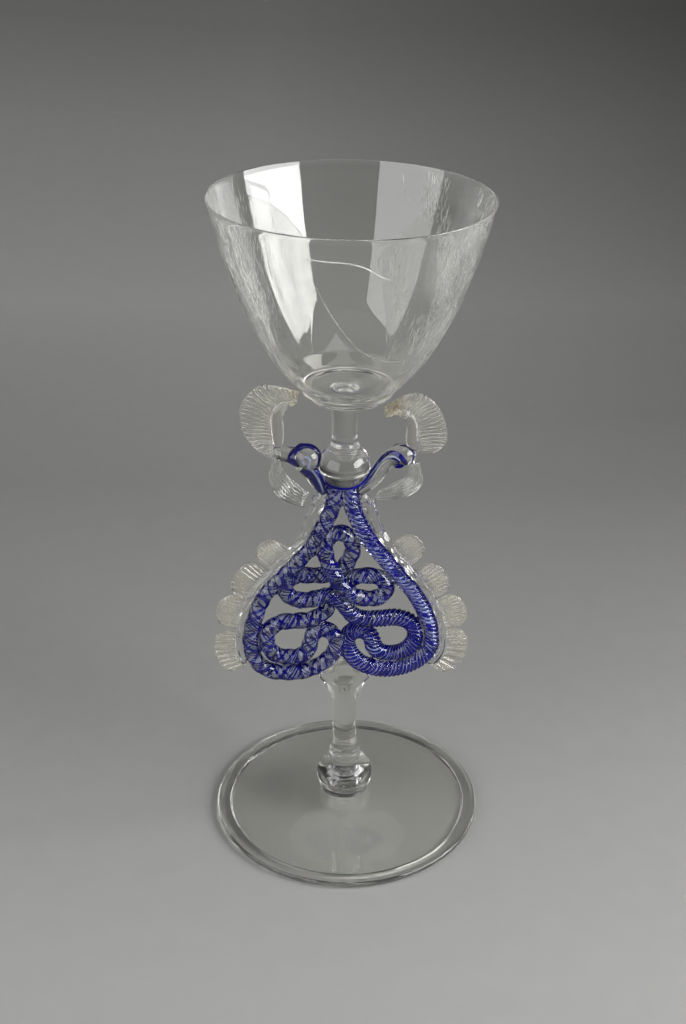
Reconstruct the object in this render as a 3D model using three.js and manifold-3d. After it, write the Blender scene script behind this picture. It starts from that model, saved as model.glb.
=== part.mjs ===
// Winged serpent-stem goblet of clear glass, with a bent cane that holds blue and pale spiral threads.
// Millimetres, +Z up. The wings lie in the XZ plane, and the front looks along -Y.
// The origin is the centre of the foot's underside.
import * as THREE from 'three';
import { mergeVertices } from 'three/addons/utils/BufferGeometryUtils.js';
import Module from 'manifold-3d';

const wasm = await Module();
wasm.setup();

// Clearance between two pieces that meet
const seatGap = 0.3;

// Foot
const footRadius = 54.4;
const footFoldWidth = 6.1;
const footFoldHeight = 3;
const footFoldRound = 1.2;
const footWall = 2.2;
const footCrownHeight = 8.6;
const footSeatRadius = 13;

// Foot knop, with the thin disc at its base
const footKnopRadius = 11.4;
const footKnopHeight = 14.2;

// Lower stem, up to the underside of the cane
const lowerStemRadius = 4.8;
const lowerStemLength = 38.1;
const stemOffset = 1;

// Serpent cane and the figure that it is bent into, measured on its centre line
const caneRadius = 3.5;
const figureHalfWidth = 38;
const figureHeight = 84;

// Shoulder knop, plain column and collar
const shoulderKnopRadius = 9.2;
const shoulderKnopHeight = 17;
const columnRadius = 4.4;
const columnTopRadius = 5;
const columnLength = 19.1;
const collarRadius = 14.8;
const collarThickness = 2.7;

// Bowl, which leans a little to the right with its collar
const bowlRimRadius = 50.1;
const bowlHeight = 71;
const bowlBaseRadius = 16.9;
const bowlWall = 1.1;
const bowlBaseThickness = 4;
const bowlLean = THREE.MathUtils.degToRad(0.95);
const bowlShift = 1.2;

// Necks and heads
const neckRadius = 2.4;
const headReach = 23.5;
const headRise = 13;

// Crests over the heads
const crestWidth = 16;
const crestHeight = 30;
const crestRodThickness = 3.8;
const crestEdgeThickness = 1.6;

// Pinched wings under the heads
const chinWidth = 16;
const chinHeight = 20;
const chinThickness = 3;
const chinEdgeThickness = 1.4;

// Clear trails along the flanks of the cane, and the lobes pincered out of them
const trailTopWidth = 5;
const trailWidth = 2.7;
const trailDepth = 5;
const lobeReach = 8.6;
const lobeThickness = 3;
const lobeEdgeThickness = 1.8;

// Facets round a piece and along it
const footFacets = 40;
const bowlFacets = 40;
const knopFacets = 24;
const curveSteps = 10;
const caneFacets = 8;
const caneRings = 192;
const caneRingsPerPiece = 6;
const tubeFacets = 10;
const neckRings = 16;
const trailRings = 20;
const lobeRibs = 6;
const crestRibs = 16;
const chinRibs = 8;

const yAxis = new THREE.Vector3(0, 1, 0);

// Places along the stem, each from the piece below it
const footKnopBase = footCrownHeight + seatGap;
const lowerStemBase = footKnopBase + footKnopHeight + seatGap;
const figureBase = lowerStemBase + lowerStemLength + caneRadius;
const caneTop = figureBase + figureHeight;
const shoulderKnopBase = caneTop + seatGap;
const columnBase = shoulderKnopBase + shoulderKnopHeight + seatGap;
const collarBase = columnBase + columnLength + seatGap;

// Route of the cane: shares of the figure's half width and height, then of the cane's radius towards the back.
const leftFlankShares = [
  [-0.1, 1, 0], [-0.1, 0.97, 0], [-0.105, 0.92, 0], [-0.155, 0.855, 0], [-0.235, 0.775, 0],
  [-0.32, 0.7, 0], [-0.445, 0.63, 0], [-0.62, 0.54, 0], [-0.78, 0.46, 0], [-0.88, 0.375, 0],
  [-0.935, 0.295, 0], [-0.98, 0.21, 0], [-0.975, 0.125, 0], [-0.9, 0.05, 0],
];
const windingShares = [
  [-0.78, 0.01, 0], [-0.6, 0, 0], [-0.42, 0.01, 0], [-0.26, 0.045, 0], [-0.13, 0.105, -0.1],
  [-0.08, 0.175, -0.3], [-0.115, 0.225, -0.3], [-0.215, 0.248, -0.1], [-0.315, 0.225, 0], [-0.355, 0.175, 0],
  [-0.385, 0.125, 0], [-0.47, 0.095, 0], [-0.61, 0.088, 0], [-0.74, 0.108, 0], [-0.81, 0.165, 0],
  [-0.79, 0.235, 0], [-0.68, 0.28, 0], [-0.51, 0.29, 0], [-0.34, 0.3, 0], [-0.21, 0.335, 0.2],
  [-0.145, 0.385, 0.6], [-0.09, 0.44, 0.7], [0.01, 0.49, 0.7], [0.14, 0.522, 0.5], [0.23, 0.53, 0.3],
  [0.31, 0.529, 0.2], [0.395, 0.513, 0.1], [0.432, 0.476, 0], [0.395, 0.439, -0.2], [0.31, 0.423, -0.3],
  [0.18, 0.429, -0.5], [0.055, 0.46, -0.7], [-0.035, 0.505, -0.7], [-0.115, 0.565, -0.6], [-0.175, 0.63, -0.4],
  [-0.195, 0.695, -0.2], [-0.145, 0.745, 0], [-0.045, 0.76, 0.1], [0.05, 0.735, 0.3], [0.085, 0.67, 0.4],
  [0.045, 0.605, 0.6], [-0.035, 0.555, 0.7], [-0.15, 0.528, 0.7], [-0.3, 0.526, 0.5], [-0.4, 0.532, 0.3],
  [-0.485, 0.532, 0.2], [-0.573, 0.515, 0], [-0.612, 0.475, -0.1], [-0.573, 0.434, -0.2], [-0.485, 0.418, -0.4],
  [-0.38, 0.42, -0.6], [-0.27, 0.435, -0.7], [-0.155, 0.445, -0.7], [-0.05, 0.422, -0.7], [0.02, 0.378, -0.5],
  [0.1, 0.325, -0.2], [0.215, 0.303, 0], [0.37, 0.305, 0], [0.55, 0.31, 0], [0.685, 0.285, 0],
  [0.745, 0.23, 0], [0.72, 0.17, 0.1], [0.64, 0.12, 0.3], [0.5, 0.097, 0.4], [0.385, 0.105, 0.4],
  [0.31, 0.143, 0.3], [0.285, 0.19, 0.3], [0.235, 0.226, 0.2], [0.155, 0.238, 0.2], [0.075, 0.223, 0.3],
  [0.025, 0.18, 0.3], [0.045, 0.13, 0.1], [0.135, 0.075, -0.2], [0.27, 0.045, -0.4], [0.48, 0.035, -0.4],
  [0.67, 0.055, -0.3],
];
const rightFlankShares = [
  [0.82, 0.095, -0.1], [0.9, 0.145, 0], [0.91, 0.205, 0], [0.88, 0.285, 0], [0.81, 0.37, 0],
  [0.71, 0.455, 0], [0.57, 0.535, 0], [0.445, 0.61, 0], [0.33, 0.68, 0], [0.22, 0.75, 0],
  [0.13, 0.84, 0], [0.08, 0.91, 0], [0.07, 0.97, 0], [0.07, 1, 0],
];
const caneShares = [...leftFlankShares, ...windingShares, ...rightFlankShares];

// Stretches of the cane's length that the trails follow, from the top down, and where the lobes sit on them
const leftTrailShares = [0.012, 0.155];
const rightTrailShares = [0.985, 0.847];
const leftLobeShares = [0.42, 0.59, 0.755, 0.93];
const rightLobeShares = [0.36, 0.57, 0.745, 0.91];
const lobeHalfLengthShare = 0.081;
const lobeReachShares = [0.86, 0.92, 1, 1];

// Outlines of the turned pieces: shares of the radius and of the height
const footKnopShares = [
  [0.6, 0], [0.78, 0.03], [0.86, 0.09], [0.84, 0.15], [0.94, 0.28], [1, 0.47], [0.97, 0.66],
  [0.87, 0.82], [0.72, 0.94], [0.58, 1],
];
const shoulderKnopShares = [
  [0.46, 0], [0.66, 0.08], [0.89, 0.27], [0.93, 0.35], [1, 0.45], [0.98, 0.58], [0.9, 0.72], [0.74, 0.9], [0.56, 1],
];
const collarShares = [[0.9, 0], [0.98, 0.2], [1, 0.5], [0.97, 0.85], [0.9, 1]];

// Lower stem: shares of its length, then of its radius across the wings and from front to back
const lowerStemShares = [
  [0, 1.24, 1.24], [0.04, 1.38, 1.38], [0.11, 1.36, 1.36], [0.17, 1.14, 1.14], [0.22, 1.05, 1.05],
  [0.35, 1, 1], [0.6, 1, 1], [0.74, 1.05, 1], [0.84, 1.25, 0.9], [0.92, 1.5, 0.8],
  [0.99, 1.8, 0.66], [1.05, 2.15, 0.6], [1.1, 2.2, 0.56], [1.17, 1.5, 0.56], [1.28, 0.9, 0.5],
];

// Necks: shares of the head's reach and rise from the cane's top, then of the neck's radius
const leftNeckShares = [
  [0.26, -0.14, 0.9], [0.4, 0.14, 1], [0.5, 0.42, 1.15], [0.58, 0.68, 1.8], [0.65, 0.88, 2.25],
  [0.74, 0.98, 1.85], [0.82, 1.02, 1.2], [0.92, 1.04, 1.2], [1, 1.06, 1.34], [1.08, 1.04, 1],
];
const rightNeckShares = [
  [0.25, -0.1, 0.9], [0.42, 0.08, 1], [0.56, 0.38, 1.05], [0.69, 0.66, 1.05], [0.83, 0.85, 1.05],
  [0.95, 0.92, 1.2], [1.04, 0.96, 1.34], [1.12, 0.93, 1],
];

// Crests: each rib runs from the rod to the outer edge; shares of the crest's width out and height up
const leftRodShares = [[0.06, 0.06], [-0.04, 0.18], [-0.07, 0.36], [-0.04, 0.52], [-0.17, 0.64], [-0.36, 0.69]];
const leftEdgeShares = [[0.28, -0.04], [0.7, 0.14], [0.92, 0.4], [0.86, 0.7], [0.42, 0.88], [-0.38, 0.8]];
const rightRodShares = [[0.08, 0.06], [-0.05, 0.18], [-0.03, 0.36], [-0.1, 0.5], [-0.28, 0.55], [-0.54, 0.51]];
const rightEdgeShares = [[0.6, 0.02], [0.88, 0.16], [0.87, 0.42], [0.6, 0.7], [0.14, 0.8], [-0.55, 0.64]];

// Chin wings: shares of their width out and height up, from the head
const leftChinInnerShares = [[0.02, -0.08], [-0.1, -0.36], [-0.34, -0.58], [-0.62, -0.78]];
const leftChinOuterShares = [[0.22, -0.04], [0.31, -0.5], [0.08, -0.88], [-0.5, -1.1]];
const rightChinInnerShares = [[0.06, -0.12], [-0.04, -0.36], [-0.32, -0.5], [-0.66, -0.68]];
const rightChinOuterShares = [[0.3, -0.12], [0.36, -0.52], [0.02, -0.78], [-0.7, -0.86]];

// Ribs: how far each one stands out of a plate, as a share of its thickness
const ribShare = 0.12;

// Solid and cut helpers

function signedVolume(geometry) {
  const points = geometry.attributes.position;
  const index = geometry.index;
  const a = new THREE.Vector3();
  const b = new THREE.Vector3();
  const c = new THREE.Vector3();
  let volume = 0;
  for (let i = 0; i < index.count; i += 3) {
    a.fromBufferAttribute(points, index.getX(i));
    b.fromBufferAttribute(points, index.getX(i + 1));
    c.fromBufferAttribute(points, index.getX(i + 2));
    volume += a.dot(b.cross(c));
  }
  return volume;
}

// Shared corners merged, and every face turned to point out
function closed(geometry) {
  geometry.deleteAttribute('normal');
  geometry.deleteAttribute('uv');
  const merged = mergeVertices(geometry);
  const corners = Array.from(merged.index.array);
  const kept = [];
  for (let i = 0; i < corners.length; i += 3) {
    const [a, b, c] = corners.slice(i, i + 3);
    if (a !== b && b !== c && c !== a) kept.push(a, b, c);
  }
  merged.setIndex(kept);
  if (signedVolume(merged) < 0) merged.setIndex(kept.reverse());
  return merged;
}

function toSolid(geometry) {
  const vertProperties = new Float32Array(geometry.attributes.position.array);
  const triVerts = new Uint32Array(geometry.index.array);
  return new wasm.Manifold(new wasm.Mesh({ numProp: 3, vertProperties, triVerts }));
}

function toGeometry(solid) {
  const mesh = solid.getMesh();
  const geometry = new THREE.BufferGeometry();
  geometry.setAttribute('position', new THREE.BufferAttribute(new Float32Array(mesh.vertProperties), mesh.numProp));
  geometry.setIndex(Array.from(mesh.triVerts));
  return geometry;
}

// Fills the voids that runs of hot glass close up between them, and leaves out flat slivers, by each shell's volume
function fused(geometry, leastVolume) {
  const corners = geometry.index.array;
  const shells = Array.from(geometry.attributes.position.array.keys());
  const shellOf = (corner) => {
    let root = corner;
    while (shells[root] !== root) root = shells[root];
    return root;
  };
  for (let i = 0; i < corners.length; i += 3) {
    const root = shellOf(corners[i]);
    shells[shellOf(corners[i + 1])] = root;
    shells[shellOf(corners[i + 2])] = root;
  }
  const groups = new Map();
  for (let i = 0; i < corners.length; i += 3) {
    const root = shellOf(corners[i]);
    if (!groups.has(root)) groups.set(root, []);
    groups.get(root).push(...corners.slice(i, i + 3));
  }
  const kept = [];
  for (const group of groups.values()) {
    const shell = geometry.clone().setIndex(group);
    if (signedVolume(shell) > leastVolume) kept.push(...group);
  }
  return geometry.setIndex(kept);
}

function cut(geometry, ...tools) {
  return toGeometry(tools.reduce((solid, tool) => solid.subtract(tool), toSolid(geometry)));
}

// Closed body through rings of points, with a flat cap on each end
function loft(rings) {
  const sides = rings[0].length;
  const points = rings.flat();
  const corners = [];
  for (let i = 1; i < rings.length; i += 1) {
    for (let j = 0; j < sides; j += 1) {
      const next = (j + 1) % sides;
      const low = (i - 1) * sides;
      const high = i * sides;
      corners.push(low + j, low + next, high + next, low + j, high + next, high + j);
    }
  }
  const last = (rings.length - 1) * sides;
  for (let j = 2; j < sides; j += 1) {
    corners.push(0, j, j - 1);
    corners.push(last, last + j - 1, last + j);
  }
  const geometry = new THREE.BufferGeometry().setFromPoints(points);
  geometry.setIndex(corners);
  return closed(geometry);
}

// Elliptical ring square to the way it runs, wide in the plane of the wings and deep from front to back
function ellipseRing(centre, along, width, depth, sides) {
  const back = yAxis.clone().addScaledVector(along, -along.y).normalize();
  const side = new THREE.Vector3().crossVectors(along, back);
  const ring = [];
  for (let j = 0; j < sides; j += 1) {
    const angle = (j + 0.5) * 2 * Math.PI / sides;
    const point = centre.clone();
    point.addScaledVector(side, width * Math.cos(angle));
    ring.push(point.addScaledVector(back, depth * Math.sin(angle)));
  }
  return ring;
}

function turned(outline, facets) {
  const points = outline.map(([radius, height]) => new THREE.Vector2(radius, height));
  return closed(new THREE.LatheGeometry(points, facets).rotateX(Math.PI / 2));
}

// Outline from a table of shares, closed on the axis, and grown all round by a clearance
function turnedShares(shares, radius, height, base, grow) {
  const outline = shares.map(([r, h]) => [r * radius + grow, base + h * height]);
  const foot = base - grow;
  const head = base + height + grow;
  const first = outline[0][0];
  const last = outline[outline.length - 1][0];
  const ends = grow ? [[[0, foot], [first, foot]], [[last, head], [0, head]]] : [[[0, foot]], [[0, head]]];
  return turned([...ends[0], ...outline, ...ends[1]], knopFacets);
}

// Blunt plate between two edges, ribbed along its length
function plate(inner, outer, innerThickness, outerThickness, ribs) {
  const steps = 2 * ribs;
  const acrossShares = [[0, 0.55], [0.16, 1], [0.86, 1], [1, 0.5]];
  const rings = [];
  for (let i = 0; i <= steps; i += 1) {
    const from = inner(i / steps);
    const to = outer(i / steps);
    const swell = i % 2 ? 1 + ribShare : 1 - ribShare;
    const front = acrossShares.map(([place, full]) => {
      const half = THREE.MathUtils.lerp(innerThickness, outerThickness, place) * full * swell / 2;
      return from.clone().lerp(to, place).addScaledVector(yAxis, -half);
    });
    const back = front.map((point) => new THREE.Vector3(point.x, 2 * from.y - point.y, point.z)).reverse();
    rings.push([...front, ...back]);
  }
  return loft(rings);
}

function smooth(points) {
  return new THREE.CatmullRomCurve3(points, false, 'centripetal');
}

function mix(from, to, share) {
  return THREE.MathUtils.lerp(from, to, THREE.MathUtils.clamp(share, 0, 1));
}

// Foot: a shallow cone with its rim folded over, hollow underneath
function foot() {
  const foldInner = footRadius - footFoldWidth;
  const rise = footCrownHeight - footWall;
  const slopeShares = [[1, 0], [0.62, 0.26], [0.4, 0.6], [0, 1]];
  const slope = slopeShares.map(([out, up]) => [mix(footSeatRadius, foldInner, out), up * rise]);
  const outline = [
    [0, rise],
    ...slope.toReversed(),
    [footRadius - footFoldRound, 0],
    [footRadius, footFoldRound],
    [footRadius, footFoldHeight - footFoldRound],
    [footRadius - footFoldRound, footFoldHeight],
    [foldInner + footFoldRound, footFoldHeight],
    ...slope.map(([radius, height]) => [radius, height + footWall]),
    [0, footCrownHeight],
  ];
  return turned(outline, footFacets);
}

// Lower stem: a turned shank that spreads into two spurs under the cane
function lowerStem() {
  const up = new THREE.Vector3(0, 0, 1);
  const rings = lowerStemShares.map(([rise, width, depth]) => {
    const centre = new THREE.Vector3(0, 0, lowerStemBase + rise * lowerStemLength);
    return ellipseRing(centre, up, width * lowerStemRadius, depth * lowerStemRadius, knopFacets);
  });
  return loft(rings);
}

function canePoint([out, up, back]) {
  return new THREE.Vector3(out * figureHalfWidth, back * caneRadius, figureBase + up * figureHeight);
}

const caneCurve = smooth(caneShares.map(canePoint));

// The cane is laid in short pieces, each ending on the ring that starts the next, and fused where it crosses itself.
function caneSolid(grow) {
  const rings = [];
  for (let i = 0; i <= caneRings; i += 1) {
    const along = caneCurve.getTangentAt(i / caneRings);
    const radius = caneRadius + grow;
    rings.push(ellipseRing(caneCurve.getPointAt(i / caneRings), along, radius, radius, caneFacets));
  }
  const pieces = [];
  for (let i = 0; i < caneRings; i += caneRingsPerPiece) {
    pieces.push(toSolid(loft(rings.slice(i, i + caneRingsPerPiece + 1))));
  }
  return pieces.reduce((whole, piece) => whole.add(piece));
}

// Neck and head of one side, grown by a clearance where it cuts what sits on it
function neck(side, shares, grow) {
  const points = shares.map(([out, up]) => new THREE.Vector3(side * out * headReach, 0, caneTop + up * headRise));
  const curve = smooth(points);
  const rings = [];
  for (let i = 0; i <= neckRings; i += 1) {
    const place = i / neckRings * (shares.length - 1);
    const step = Math.min(Math.floor(place), shares.length - 2);
    const radius = mix(shares[step][2], shares[step + 1][2], place - step) * neckRadius + grow;
    const share = i / neckRings;
    rings.push(ellipseRing(curve.getPoint(share), curve.getTangent(share), radius, radius, tubeFacets));
  }
  return loft(rings);
}

function headPlace(side, [out, up], width, height) {
  return new THREE.Vector3(side * (headReach + out * width), 0, caneTop + headRise + up * height);
}

function crest(side, rodShares, edgeShares) {
  const rod = smooth(rodShares.map((share) => headPlace(side, share, crestWidth, crestHeight)));
  const edge = smooth(edgeShares.map((share) => headPlace(side, share, crestWidth, crestHeight)));
  return plate((s) => rod.getPoint(s), (s) => edge.getPoint(s), crestRodThickness, crestEdgeThickness, crestRibs);
}

function chinWing(side, innerShares, outerShares) {
  const inner = smooth(innerShares.map((share) => headPlace(side, share, chinWidth, chinHeight)));
  const outer = smooth(outerShares.map((share) => headPlace(side, share, chinWidth, chinHeight)));
  return plate((s) => inner.getPoint(s), (s) => outer.getPoint(s), chinThickness, chinEdgeThickness, chinRibs);
}

// Point beside the cane, a given distance out of its flank, at a share of the trail's way down
function flankPoint(side, span, share, out) {
  const place = mix(span[0], span[1], share);
  const along = caneCurve.getTangentAt(place);
  const away = new THREE.Vector3().crossVectors(along, yAxis).normalize();
  if (away.x * side < 0) away.negate();
  return caneCurve.getPointAt(place).setY(0).addScaledVector(away, out);
}

function trailWidthAt(share) {
  const taperShare = 0.35;
  return mix(trailTopWidth, trailWidth, share / taperShare);
}

function trail(side, span, grow) {
  const ahead = span[1] > span[0] ? 1 : -1;
  const rings = [];
  for (let i = 0; i <= trailRings; i += 1) {
    const share = i / trailRings;
    const half = trailWidthAt(share) / 2;
    const centre = flankPoint(side, span, share, caneRadius + seatGap + half);
    const along = caneCurve.getTangentAt(mix(span[0], span[1], share)).setY(0).normalize().multiplyScalar(ahead);
    rings.push(ellipseRing(centre, along, half + grow, trailDepth / 2 + grow, caneFacets));
  }
  return loft(rings);
}

function lobe(side, span, place, reachShare) {
  const fullness = 2.6;
  const base = (s) => {
    const share = place + (2 * s - 1) * lobeHalfLengthShare;
    return [share, caneRadius + 2 * seatGap + trailWidthAt(share)];
  };
  const inner = (s) => flankPoint(side, span, ...base(s));
  const outer = (s) => {
    const [share, out] = base(s);
    const bulge = (1 - Math.abs(2 * s - 1) ** fullness) ** (1 / fullness);
    const edgeShare = 0.12;
    return flankPoint(side, span, share, out + mix(edgeShare, 1, bulge) * reachShare * lobeReach);
  };
  return plate(inner, outer, lobeThickness, lobeEdgeThickness, lobeRibs);
}

function shoulderKnop(grow) {
  return turnedShares(shoulderKnopShares, shoulderKnopRadius, shoulderKnopHeight, shoulderKnopBase, grow);
}

function column() {
  const outline = [
    [0, columnBase],
    [columnRadius, columnBase],
    [columnRadius, columnBase + columnLength / 2],
    [columnTopRadius, columnBase + columnLength],
    [0, columnBase + columnLength],
  ];
  return turned(outline, knopFacets);
}

// Bowl: its outside is one curve, and the wall thickens towards the base
function bowl() {
  const outerShares = [[0.705, 0.108], [0.34, 0.06]];
  const controls = outerShares.map(([out, up]) => new THREE.Vector2(out * bowlRimRadius, up * bowlHeight));
  const rim = new THREE.Vector2(bowlRimRadius, bowlHeight - bowlWall / 2);
  const outer = new THREE.CubicBezierCurve(new THREE.Vector2(bowlBaseRadius, 0), controls[1], controls[0], rim);
  const inside = [];
  for (let i = curveSteps; i > 0; i -= 1) {
    const share = i / curveSteps;
    const point = outer.getPoint(share);
    const along = outer.getTangent(share);
    const wall = mix(bowlBaseThickness, bowlWall, 1 - (1 - share) ** 3);
    const place = new THREE.Vector2(point.x - along.y * wall, point.y + along.x * wall);
    if (place.y > bowlBaseThickness) inside.push(place.toArray());
  }
  const outline = [
    [0, 0],
    ...outer.getPoints(curveSteps).map((point) => point.toArray()),
    [bowlRimRadius - bowlWall / 2, bowlHeight],
    ...inside,
    [0, bowlBaseThickness],
  ];
  return turned(outline, bowlFacets);
}

// Glass, as it looks against a plain ground
const clearGlass = { color: 0xd9ddd6, roughness: 0.05, metalness: 0 };
const pinchedGlass = { color: 0xe6e3c8, roughness: 0.12, metalness: 0 };
const threadedGlass = { color: 0x2a3aa0, roughness: 0.08, metalness: 0 };

const goblet = new THREE.Group();
const stem = new THREE.Group();
const top = new THREE.Group();
stem.position.x = -stemOffset;
top.position.set(bowlShift, 0, collarBase);
top.rotation.y = bowlLean;
stem.add(top);
goblet.add(stem);

function put(group, name, geometry, glass) {
  const mesh = new THREE.Mesh(geometry, new THREE.MeshStandardMaterial(glass));
  mesh.name = name;
  group.add(mesh);
  return mesh;
}

const cane = caneSolid(0);
const caneRoom = caneSolid(seatGap);
const knopRoom = toSolid(shoulderKnop(seatGap));

put(goblet, 'foot', foot(), clearGlass);
put(stem, 'foot_knop', turnedShares(footKnopShares, footKnopRadius, footKnopHeight, footKnopBase, 0), clearGlass);
put(stem, 'lower_stem', cut(lowerStem(), caneRoom), clearGlass);
put(stem, 'serpent_cane', fused(toGeometry(cane), caneRadius ** 3), threadedGlass);
put(stem, 'shoulder_knop', shoulderKnop(0), clearGlass);
put(stem, 'upper_stem', column(), clearGlass);

const sides = [
  {
    name: 'left', side: -1, span: leftTrailShares, neckShares: leftNeckShares,
    rod: leftRodShares, edge: leftEdgeShares, chinInner: leftChinInnerShares, chinOuter: leftChinOuterShares,
    lobes: leftLobeShares,
  },
  {
    name: 'right', side: 1, span: rightTrailShares, neckShares: rightNeckShares,
    rod: rightRodShares, edge: rightEdgeShares, chinInner: rightChinInnerShares, chinOuter: rightChinOuterShares,
    lobes: rightLobeShares,
  },
];
for (const { name, side, span, neckShares, rod, edge, chinInner, chinOuter, lobes } of sides) {
  const neckRoom = toSolid(neck(side, neckShares, seatGap));
  const trailRoom = toSolid(trail(side, span, seatGap));
  put(stem, `${name}_neck`, cut(neck(side, neckShares, 0), caneRoom, knopRoom), clearGlass);
  put(stem, `${name}_crest`, cut(crest(side, rod, edge), neckRoom), pinchedGlass);
  put(stem, `${name}_chin_wing`, cut(chinWing(side, chinInner, chinOuter), neckRoom, trailRoom), pinchedGlass);
  put(stem, `${name}_side_trail`, cut(trail(side, span, 0), neckRoom), clearGlass);
  lobes.forEach((place, i) => {
    put(stem, `${name}_wing_lobe_${i + 1}`, lobe(side, span, place, lobeReachShares[i]), pinchedGlass);
  });
}

put(top, 'bowl_collar', turnedShares(collarShares, collarRadius, collarThickness, 0, 0), clearGlass);
const bowlMesh = put(top, 'bowl', bowl(), clearGlass);
bowlMesh.position.z = collarThickness + seatGap;

export default goblet;
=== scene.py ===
import math

import bpy
import numpy as np
from bpy.props import FloatProperty, FloatVectorProperty, IntProperty, PointerProperty
from mathutils import Matrix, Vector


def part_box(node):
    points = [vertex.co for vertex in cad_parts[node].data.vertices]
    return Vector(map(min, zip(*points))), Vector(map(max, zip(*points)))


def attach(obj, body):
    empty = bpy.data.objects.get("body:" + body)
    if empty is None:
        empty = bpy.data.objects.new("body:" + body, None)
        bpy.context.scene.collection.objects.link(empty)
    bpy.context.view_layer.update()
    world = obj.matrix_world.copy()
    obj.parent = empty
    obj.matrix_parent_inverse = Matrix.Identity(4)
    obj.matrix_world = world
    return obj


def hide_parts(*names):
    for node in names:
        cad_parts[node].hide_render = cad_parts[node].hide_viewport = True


bl_info = {
    "name": "Winged Serpent-Stem Goblet",
    "version": (1, 0, 0),
    "blender": (4, 5, 0),
    "location": "3D View > Sidebar > Goblet",
    "description": "Builds a clear glass goblet on a threaded serpent stem, and the paper sweep that it stands on",
    "category": "Add Mesh",
}

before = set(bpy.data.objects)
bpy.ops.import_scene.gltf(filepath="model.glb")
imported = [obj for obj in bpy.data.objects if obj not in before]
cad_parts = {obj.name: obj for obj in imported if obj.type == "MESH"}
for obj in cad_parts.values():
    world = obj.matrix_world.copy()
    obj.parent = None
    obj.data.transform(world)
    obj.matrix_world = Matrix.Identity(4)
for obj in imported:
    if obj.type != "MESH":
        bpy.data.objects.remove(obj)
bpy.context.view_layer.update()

MM = 0.001
TAU = 2 * math.pi
SIDES = {"left": -1, "right": 1}

# Route of the cane: shares of the figure's half width and height, then of the cane's radius towards the back.
CANE_SHARES = [
    (-0.1, 1, 0), (-0.1, 0.97, 0), (-0.105, 0.92, 0), (-0.155, 0.855, 0), (-0.235, 0.775, 0),
    (-0.32, 0.7, 0), (-0.445, 0.63, 0), (-0.62, 0.54, 0), (-0.78, 0.46, 0), (-0.88, 0.375, 0),
    (-0.935, 0.295, 0), (-0.98, 0.21, 0), (-0.975, 0.125, 0), (-0.9, 0.05, 0),
    (-0.78, 0.01, 0), (-0.6, 0, 0), (-0.42, 0.01, 0), (-0.26, 0.045, 0), (-0.13, 0.105, -0.1),
    (-0.08, 0.175, -0.3), (-0.115, 0.225, -0.3), (-0.215, 0.248, -0.1), (-0.315, 0.225, 0), (-0.355, 0.175, 0),
    (-0.385, 0.125, 0), (-0.47, 0.095, 0), (-0.61, 0.088, 0), (-0.74, 0.108, 0), (-0.81, 0.165, 0),
    (-0.79, 0.235, 0), (-0.68, 0.28, 0), (-0.51, 0.29, 0), (-0.34, 0.3, 0), (-0.21, 0.335, 0.2),
    (-0.145, 0.385, 0.6), (-0.09, 0.44, 0.7), (0.01, 0.49, 0.7), (0.14, 0.522, 0.5), (0.23, 0.53, 0.3),
    (0.31, 0.529, 0.2), (0.395, 0.513, 0.1), (0.432, 0.476, 0), (0.395, 0.439, -0.2), (0.31, 0.423, -0.3),
    (0.18, 0.429, -0.5), (0.055, 0.46, -0.7), (-0.035, 0.505, -0.7), (-0.115, 0.565, -0.6), (-0.175, 0.63, -0.4),
    (-0.195, 0.695, -0.2), (-0.145, 0.745, 0), (-0.045, 0.76, 0.1), (0.05, 0.735, 0.3), (0.085, 0.67, 0.4),
    (0.045, 0.605, 0.6), (-0.035, 0.555, 0.7), (-0.15, 0.528, 0.7), (-0.3, 0.526, 0.5), (-0.4, 0.532, 0.3),
    (-0.485, 0.532, 0.2), (-0.573, 0.515, 0), (-0.612, 0.475, -0.1), (-0.573, 0.434, -0.2), (-0.485, 0.418, -0.4),
    (-0.38, 0.42, -0.6), (-0.27, 0.435, -0.7), (-0.155, 0.445, -0.7), (-0.05, 0.422, -0.7), (0.02, 0.378, -0.5),
    (0.1, 0.325, -0.2), (0.215, 0.303, 0), (0.37, 0.305, 0), (0.55, 0.31, 0), (0.685, 0.285, 0),
    (0.745, 0.23, 0), (0.72, 0.17, 0.1), (0.64, 0.12, 0.3), (0.5, 0.097, 0.4), (0.385, 0.105, 0.4),
    (0.31, 0.143, 0.3), (0.285, 0.19, 0.3), (0.235, 0.226, 0.2), (0.155, 0.238, 0.2), (0.075, 0.223, 0.3),
    (0.025, 0.18, 0.3), (0.045, 0.13, 0.1), (0.135, 0.075, -0.2), (0.27, 0.045, -0.4), (0.48, 0.035, -0.4),
    (0.67, 0.055, -0.3),
    (0.82, 0.095, -0.1), (0.9, 0.145, 0), (0.91, 0.205, 0), (0.88, 0.285, 0), (0.81, 0.37, 0),
    (0.71, 0.455, 0), (0.57, 0.535, 0), (0.445, 0.61, 0), (0.33, 0.68, 0), (0.22, 0.75, 0),
    (0.13, 0.84, 0), (0.08, 0.91, 0), (0.07, 0.97, 0), (0.07, 1, 0),
]

# Shares of the cane's length at which its threads are worked out
FINE = np.linspace(0, 1, 4000)

# The foot's slope: shares of the way out from its crown to its fold, and of its rise
FOOT_CROWN_RADIUS = 13 * MM
FOOT_SLOPE_SHARES = [(1, 0), (0.8, 0.12), (0.62, 0.28), (0.4, 0.58), (0.2, 0.84), (0, 0.97)]
# The middle of its underside: millimetres from the axis, and above the rise
UNDER_CROWN = [(0.5, -0.12), (3, -0.12), (5, -0.08), (7, 0)]
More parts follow.
